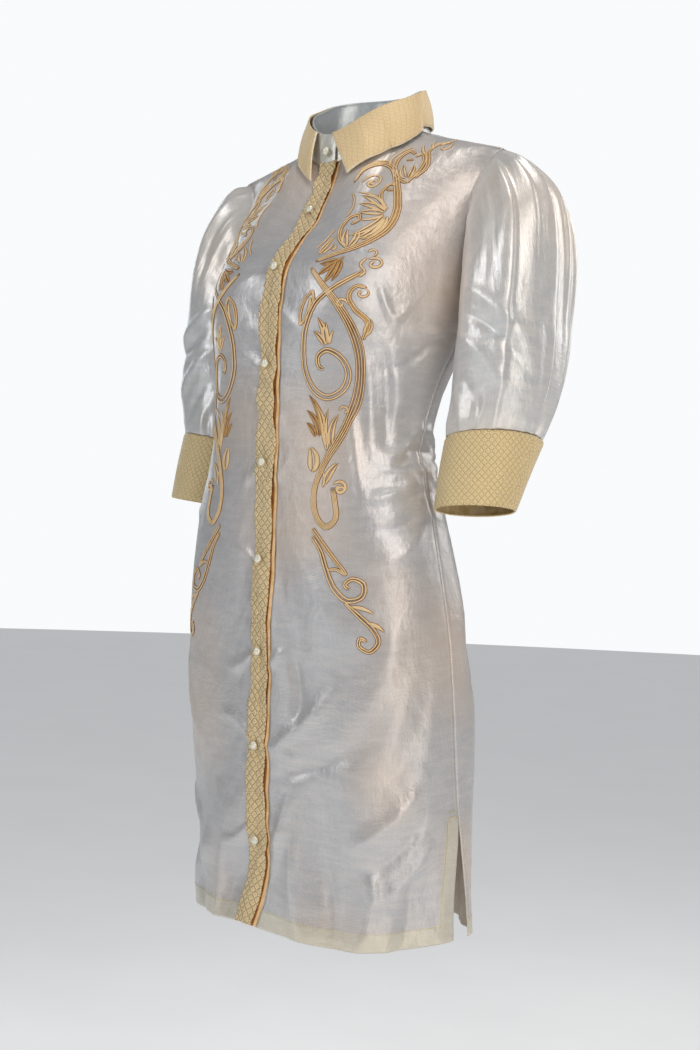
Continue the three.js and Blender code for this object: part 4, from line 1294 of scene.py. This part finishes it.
STITCHES = [
    *vine(UPPER_VINE, (1.0, 2.2, 3.0, 3.2, 2.6, 1.6)),
    *vine(MIDDLE_VINE, (1.4, 3.2, 4.2, 4.4, 3.6, 2.6, 2.6, 2.2), 4, 0.55, False),
    *vine(CROSSING_VINE, (1.2, 2.0, 2.6, 3.0, 2.2, 1.4), 2, 0.75, False),
    *vine(LOWER_VINE, (1.2, 2.0, 2.4, 1.8, 1.2), 2, 0.75, False),
    *vine(LAST_VINE, (0.8, 1.8, 1.8, 1.4, 1.0), 2, 0.65, False),
    *vine(((68, -430), (82, -446), (96, -462), (107, -475), (97, -471), (89, -472)),
          (1.4, 1.8, 1.2, 0.8), 2),
    # a flourish at the shoulder
    *vine(((116, -60), (122, -48), (118, -36), (113, -27), (117, -18), (127, -16)),
          (0.9, 1.6, 1.6, 0.8), 2),
    strand(curl(126, -22, 6, 80, -300), 0.9),
    *blade(112, -30, 102, -18, 2.2, 2), *blade(117, -24, 109, -12, 1.8, 2),
    *blade(119, -19, 128, -9, 1.8, -2),
    # a bud below it
    *vine(((111, -66), (98, -58), (89, -46), (87, -34), (93, -26), (101, -30)), (1.0, 1.9, 1.0), 2),
    *vine(((111, -66), (116, -52), (116, -40), (110, -31), (103, -33)), (1.0, 1.7, 0.9), 2),
    *leaf(108, -60, 97, -43, 4, 2), *leaf(110, -60, 108, -44, 3.4, -1),
    *blade(96, -38, 104, -38, 2.2, 1, 1),
    strand(rounded((82, -45), (79, -35), (84, -26), (92, -20)), 0.8), *blade(84, -40, 90, -24, 2, 1),
    # a curl and a flower within the upper scroll
    strand(curl(76, -64, 11, 200, -470, 2.2), (0.9, 1.1, 1.3)), strand(curl(76, -64, 3, 0, 300), 1.1),
    strand(rounded((56, -52), (62, -43), (72, -37), (84, -40)), 0.8),
    *leaf(106, -99, 72, -80, 5, -4), *leaf(106, -100, 74, -90, 4.6, -3),
    *leaf(105, -102, 79, -101, 4.4, -2), *blade(105, -98, 66, -76, 2.4, -6),
    *blade(106, -103, 85, -109, 2.6, 2),
    *leaf(106, -104, 82, -128, 4.4, 4), *leaf(107, -105, 88, -133, 4.4, 5),
    *leaf(108, -105, 96, -133, 4.2, 4), *blade(109, -104, 104, -127, 2.6, 3),
    *vine(((106, -97), (97, -87), (92, -77), (95, -68), (102, -67)), (0.8, 1.4, 0.8), 2),
    *blade(94, -72, 104, -74, 2.2, -1, 1),
    # a bulb below the flower
    *vine(((86, -142), (74, -132), (68, -119), (71, -107), (80, -103), (84, -109), (77, -114)),
          (0.8, 1.8, 1.6, 0.8), 2),
    *leaf(85, -141, 76, -119, 4.6, 2), *leaf(87, -141, 88, -120, 4.2, -3),
    strand(rounded((66, -106), (69, -95), (66, -84), (59, -76)), 0.7),
    *leaf(56, -149, 67, -129, 4, 2), *blade(60, -148, 70, -136, 2.4, -1),
    strand(curl(72, -141, 3, 200, 330, 0.8), 0.9),
    strand(rounded((48, -141), (56, -131), (61, -119)), 0.7),
    # leaves under the turn of the stem
    strand(rounded((88, -152), (80, -158), (70, -163)), 0.9, 0.8, 1),
    *leaf(84, -155, 63, -159, 3.6, 1, 1), *leaf(82, -156, 64, -171, 3.8, 1, 1),
    *leaf(83, -156, 73, -180, 3.8, 2, 1), *leaf(86, -155, 82, -178, 3.4, 2, 1),
    # a knot beside the stem
    strand(curl(114, -158, 7, 150, -420), 1.0), strand(curl(109, -146, 5, 300, 250), 0.8),
    strand(rounded((107, -152), (104, -160), (109, -167), (105, -173)), 1.0),
    # a bud at the left, and a curling stem at the right
    *vine(((62, -186), (52, -196), (47, -210), (48, -222)), (0.8, 1.8, 0.7), 2),
    *vine(((62, -186), (64, -198), (57, -211), (48, -222)), (0.7, 1.5, 0.7), 2),
    *blade(60, -193, 53, -214, 2.8, 2),
    *vine(((110, -236), (114, -218), (105, -205), (100, -192), (105, -182), (113, -183)),
          (0.7, 2.0, 1.4, 0.8), 2),
    strand(curl(110, -189, 5, 60, -330), 0.9), strand(curl(94, -200, 5.5, 340, 380), 0.9),
    *leaf(111, -232, 116, -214, 4, -1),
    # sprigs round the lower scroll
    *leaf(77, -243, 65, -228, 3.6, -2), *leaf(78, -242, 70, -214, 4.2, -3),
    *leaf(80, -242, 80, -219, 5, 2), *blade(82, -241, 87, -227, 2.4, 1),
    *leaf(74, -338, 57, -292, 4.2, -5, 1), *leaf(74, -338, 64, -300, 3.4, -4),
    *leaf(70, -336, 55, -308, 3.8, -4, 1), *leaf(66, -336, 55, -321, 3.4, -2, 1),
    *leaf(80, -350, 79, -306, 3.6, 4), *leaf(78, -350, 71, -322, 3.4, -3),
    *leaf(84, -346, 89, -312, 4.2, 4), strand(curl(94, -308, 5, 190, -300), 0.8),
    *leaf(64, -372, 60, -346, 8.5, -3), strand(rounded((64, -372), (68, -362), (70, -352)), 0.7),
    *leaf(79, -385, 92, -362, 5, 2), *blade(77, -388, 76, -370, 2.2, -2),
    strand(curl(96, -388, 8, 160, -420, 2), (1.3, 1.5, 1.2)), strand(curl(97, -389, 3, 0, 200), 1.0),
    *blade(114, -508, 135, -515, 3, 2), *blade(129, -524, 144, -533, 3.2, 2),
]


def off_the_sway(side, across, level):
    """A front's place, and its distance from the centre before the sway."""
    q = across / HALF_PANEL
    point = body("front", side, q, down_at("front", side, q, level))
    share = 1 - smoothstep(q, 0.02, SWAY_WIDTH)
    return point, point[..., 0] * side - side * sway_at(level)["left"] * share


# Across a cord, then back beneath: shares of its half width, dark edging, shares of its rise.
DOME = np.array((-1, -1, -0.55, 0.55, 1, 1, -1))
EDGING = 0.75 * np.array((-1, 0, 0, 0, 0, 1, -1))
RISE = np.array((0, 0.25, 1, 1, 0.25, 0, 0))


def embroidery(name, side):
    paths, halves, heights, feet, tones = zip(*STITCHES)
    place = np.vstack(paths)
    along = np.vstack([np.gradient(path, axis=0) for path in paths])
    half, height, foot = [np.concatenate(each)[:, None] for each in (halves, heights, feet)]
    across, level = place[:, 0] * 1.1, place[:, 1]
    for _ in range(6):
        across = across + (place[:, 0] - off_the_sway(side, across, level)[1])
    middle, x = off_the_sway(side, across, level)
    further, x_further = off_the_sway(side, across + 1, level)
    by_across, by_level = further - middle, off_the_sway(side, across, level - 1)[0] - middle
    scale = x_further - x
    run = by_across * (along[:, :1] / scale[:, None]) - by_level * along[:, 1:]
    face_out = unit(np.cross(by_across, by_level)) * -side
    sideways = unit(np.cross(unit(run), face_out))
    metric = [np.sum(a * b, -1) for a, b in ((by_across, by_across), (by_across, by_level),
                                             (by_level, by_level), (sideways, by_across),
                                             (sideways, by_level))]
    aa, al, ll, sa, sl = metric
    share = aa * ll - al * al
    step_across = ((ll * sa - al * sl) / share)[:, None]
    step_level = ((aa * sl - al * sa) / share)[:, None]
    off = DOME * half + EDGING * np.minimum(1, half * 2)
    lift = foot * (np.abs(EDGING) < 0.1) + height * RISE + 0.12 * (RISE > 0) + 0.5 * foot - 0.02
    points = on_panel("front", side, across[:, None] + step_across * off,
                      level[:, None] - step_level * off, lift) * MM
    bm = bmesh.new()
    cloth = bm.loops.layers.uv.new("cloth")
    first = 0
    for path, tone in zip(paths, tones):
        rows = points[first:first + len(path)]
        steps = np.linalg.norm(np.diff(path, axis=0), axis=1)
        length = np.concatenate(((0,), np.cumsum(steps)))
        wide, long = np.broadcast_arrays(DOME * MM, length[:, None] * MM)
        lay_grid(bm, rows, cloth, wide, long, lambda column, row: 2 if column in (0, 4, 5) else tone)
        first += len(path)
    bmesh.ops.remove_doubles(bm, verts=bm.verts, dist=2e-5)
    bmesh.ops.recalc_face_normals(bm, faces=bm.faces)
    piece = make(name, bm, THREAD, DARK_THREAD, OUTLINE)
    return piece


embroidery("embroidery_left", 1)
embroidery("embroidery_right", -1)

# ---- buttons -----------------------------------------------------------------

BUTTON = {"radius": 4.6, "height": 7.8, "shank": 1.5, "foot": 1.6}


def button(name, foot, tip):
    bm = bmesh.new()
    rise = BUTTON["height"] - BUTTON["foot"]
    turns = np.linspace(-0.42, 0.5, 13) * math.pi
    profile = [(BUTTON["shank"], SEAM), (BUTTON["shank"], BUTTON["foot"])]
    profile += [(max(0, BUTTON["radius"] * math.cos(t)), BUTTON["foot"] + rise / 2 * (1 + math.sin(t)))
                for t in turns]
    rim = [bm.verts.new((r * MM, 0, h * MM)) for r, h in profile]
    for low, high in zip(rim, rim[1:]):
        bm.edges.new((low, high))
    bmesh.ops.spin(bm, geom=bm.verts[:] + bm.edges[:], cent=(0, 0, 0), axis=(0, 0, 1),
                   angle=TURN, steps=28, use_merge=True)
    bmesh.ops.remove_doubles(bm, verts=bm.verts, dist=1e-6)
    bmesh.ops.recalc_face_normals(bm, faces=bm.faces)
    axis = Vector(unit(tip - foot))
    turn = axis.to_track_quat("Z", "Y").to_matrix().to_4x4()
    bmesh.ops.transform(bm, matrix=Matrix.Translation(Vector(foot * MM)) @ turn, verts=bm.verts)
    piece = make(name, bm, PEARL)
    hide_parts(name)


def centre(level, lift):
    down = down_at("front", 1, 0.0, level)
    return body("front", 1, 0.0, down, SEAM + BROCADE + lift)


button("button_collar", stand_point(360 * DEG, 0.42), stand_point(360 * DEG, 0.42, 5))
for i, level in enumerate(BUTTON_LEVELS):
    button(f"button_{i + 1}", centre(level, 0.0), centre(level, 6.0))

# ---- floor, light and camera -------------------------------------------------

FLOOR_LEVEL = -1.46             # in metres, as the lights and the camera are
floor_shape = bmesh.new()
bmesh.ops.create_circle(floor_shape, cap_ends=True, segments=96, radius=14)
bmesh.ops.translate(floor_shape, vec=(0, 0, FLOOR_LEVEL), verts=floor_shape.verts)
floor = shell("floor", floor_shape,
              plain_finish("pale_floor", "f2f2f0", "ebebe9", 0.8, 3.0,
                           Emission_Color=(0.95, 0.97, 1.0, 1), Emission_Strength=0.36))

# The cloth reflects a soft room that changes with height; the camera sees a plain backdrop.
ROOM = table("height grey", (0.3, 0.55), (0.44, 0.25), (0.54, 0.35), (0.62, 1.15), (0.72, 0.7))
ROOM_STRENGTH = 0.22
world = bpy.data.worlds.new("studio")
bpy.context.scene.world = world
studio = Nodes(world)
backdrop = studio.nodes["Background"]
backdrop.inputs["Color"].default_value = (0.95, 0.96, 0.97, 1)
height = studio.parts(studio.node("TexCoord", {}, pick="Generated"))[2]
shade = studio.node("ValToRGB", {}, height)
ramp = shade.out.node.color_ramp.elements
for row in ROOM:
    grey = row["grey"]
    ramp.new(row["height"]).color = (grey * 0.94, grey * 0.98, grey * 1.05, 1)
ramp[0].color = (0.6, 0.6, 0.6, 1)
ramp[-1].color = (1, 1, 1, 1)
soft_light = studio.node("Background", {}, shade, ROOM_STRENGTH)
seen = studio.node("LightPath", {}, pick="Is Camera Ray")
choice = studio.node("MixShader", {}, seen, soft_light, Socket(studio, backdrop.outputs[0]))
studio.links.new(choice.out, studio.nodes["World Output"].inputs["Surface"])
bpy.context.scene.view_settings.view_transform = "Standard"


def area_light(name, place, aim, size, watts, tint):
    light = bpy.data.lights.new(name, "AREA")
    light.shape = "RECTANGLE"
    light.size, light.size_y = size
    light.energy = watts
    light.color = tint
    lamp = add(name, light)
    lamp.location = place
    lamp.rotation_euler = (Vector(aim) - Vector(place)).to_track_quat("-Z", "Y").to_euler()


LIGHTS = table(
    "name place aim size watts tint",
    ("key", (2.2, -1.0, 0.55), (0, 0, -0.3), (1.3, 1.5), 25, (1.0, 0.92, 0.85)),
    ("fill", (-0.9, -2.5, 0.8), (0, 0, -0.15), (0.6, 0.9), 17, (0.97, 0.98, 1.0)),
    ("low", (-0.9, -2.1, -0.95), (0, 0, -0.6), (0.35, 0.6), 1.5, (0.88, 0.95, 1.0)),
    ("low_side", (1.9, -0.6, -1.0), (0, 0, -0.7), (0.3, 0.5), 2.6, (1.0, 0.93, 0.84)),
    ("top", (0.5, -0.2, 2.0), (0, 0, -0.3), (0.9, 0.9), 16, (1.0, 0.98, 0.95)),
    ("side", (-2.0, 0.5, 0.3), (0, 0, -0.3), (0.4, 1.2), 5.5, (0.84, 0.94, 1.0)),
    ("back", (0.9, 2.4, 0.7), (0, 0, -0.4), (1.2, 1.4), 20, (1.0, 0.98, 0.95)),
)
for row in LIGHTS:
    area_light(**row)

CAMERA = {"away": 1.95, "bearing": 42, "roll": 2.2, "lens": 60.2}
TARGET = Vector((0, 0, -0.425))
camera_data = bpy.data.cameras.new("camera")
camera_data.sensor_fit = "VERTICAL"
camera_data.sensor_height = 36
camera_data.lens = CAMERA["lens"]
camera = add("camera", camera_data)
bearing = CAMERA["bearing"] * DEG
camera.location = TARGET + CAMERA["away"] * Vector((math.sin(bearing), -math.cos(bearing), 0))
look = (TARGET - camera.location).to_track_quat("-Z", "Y").to_matrix()
camera.rotation_euler = (look @ Matrix.Rotation(CAMERA["roll"] * DEG, 3, "Z")).to_euler()
bpy.context.scene.camera = camera
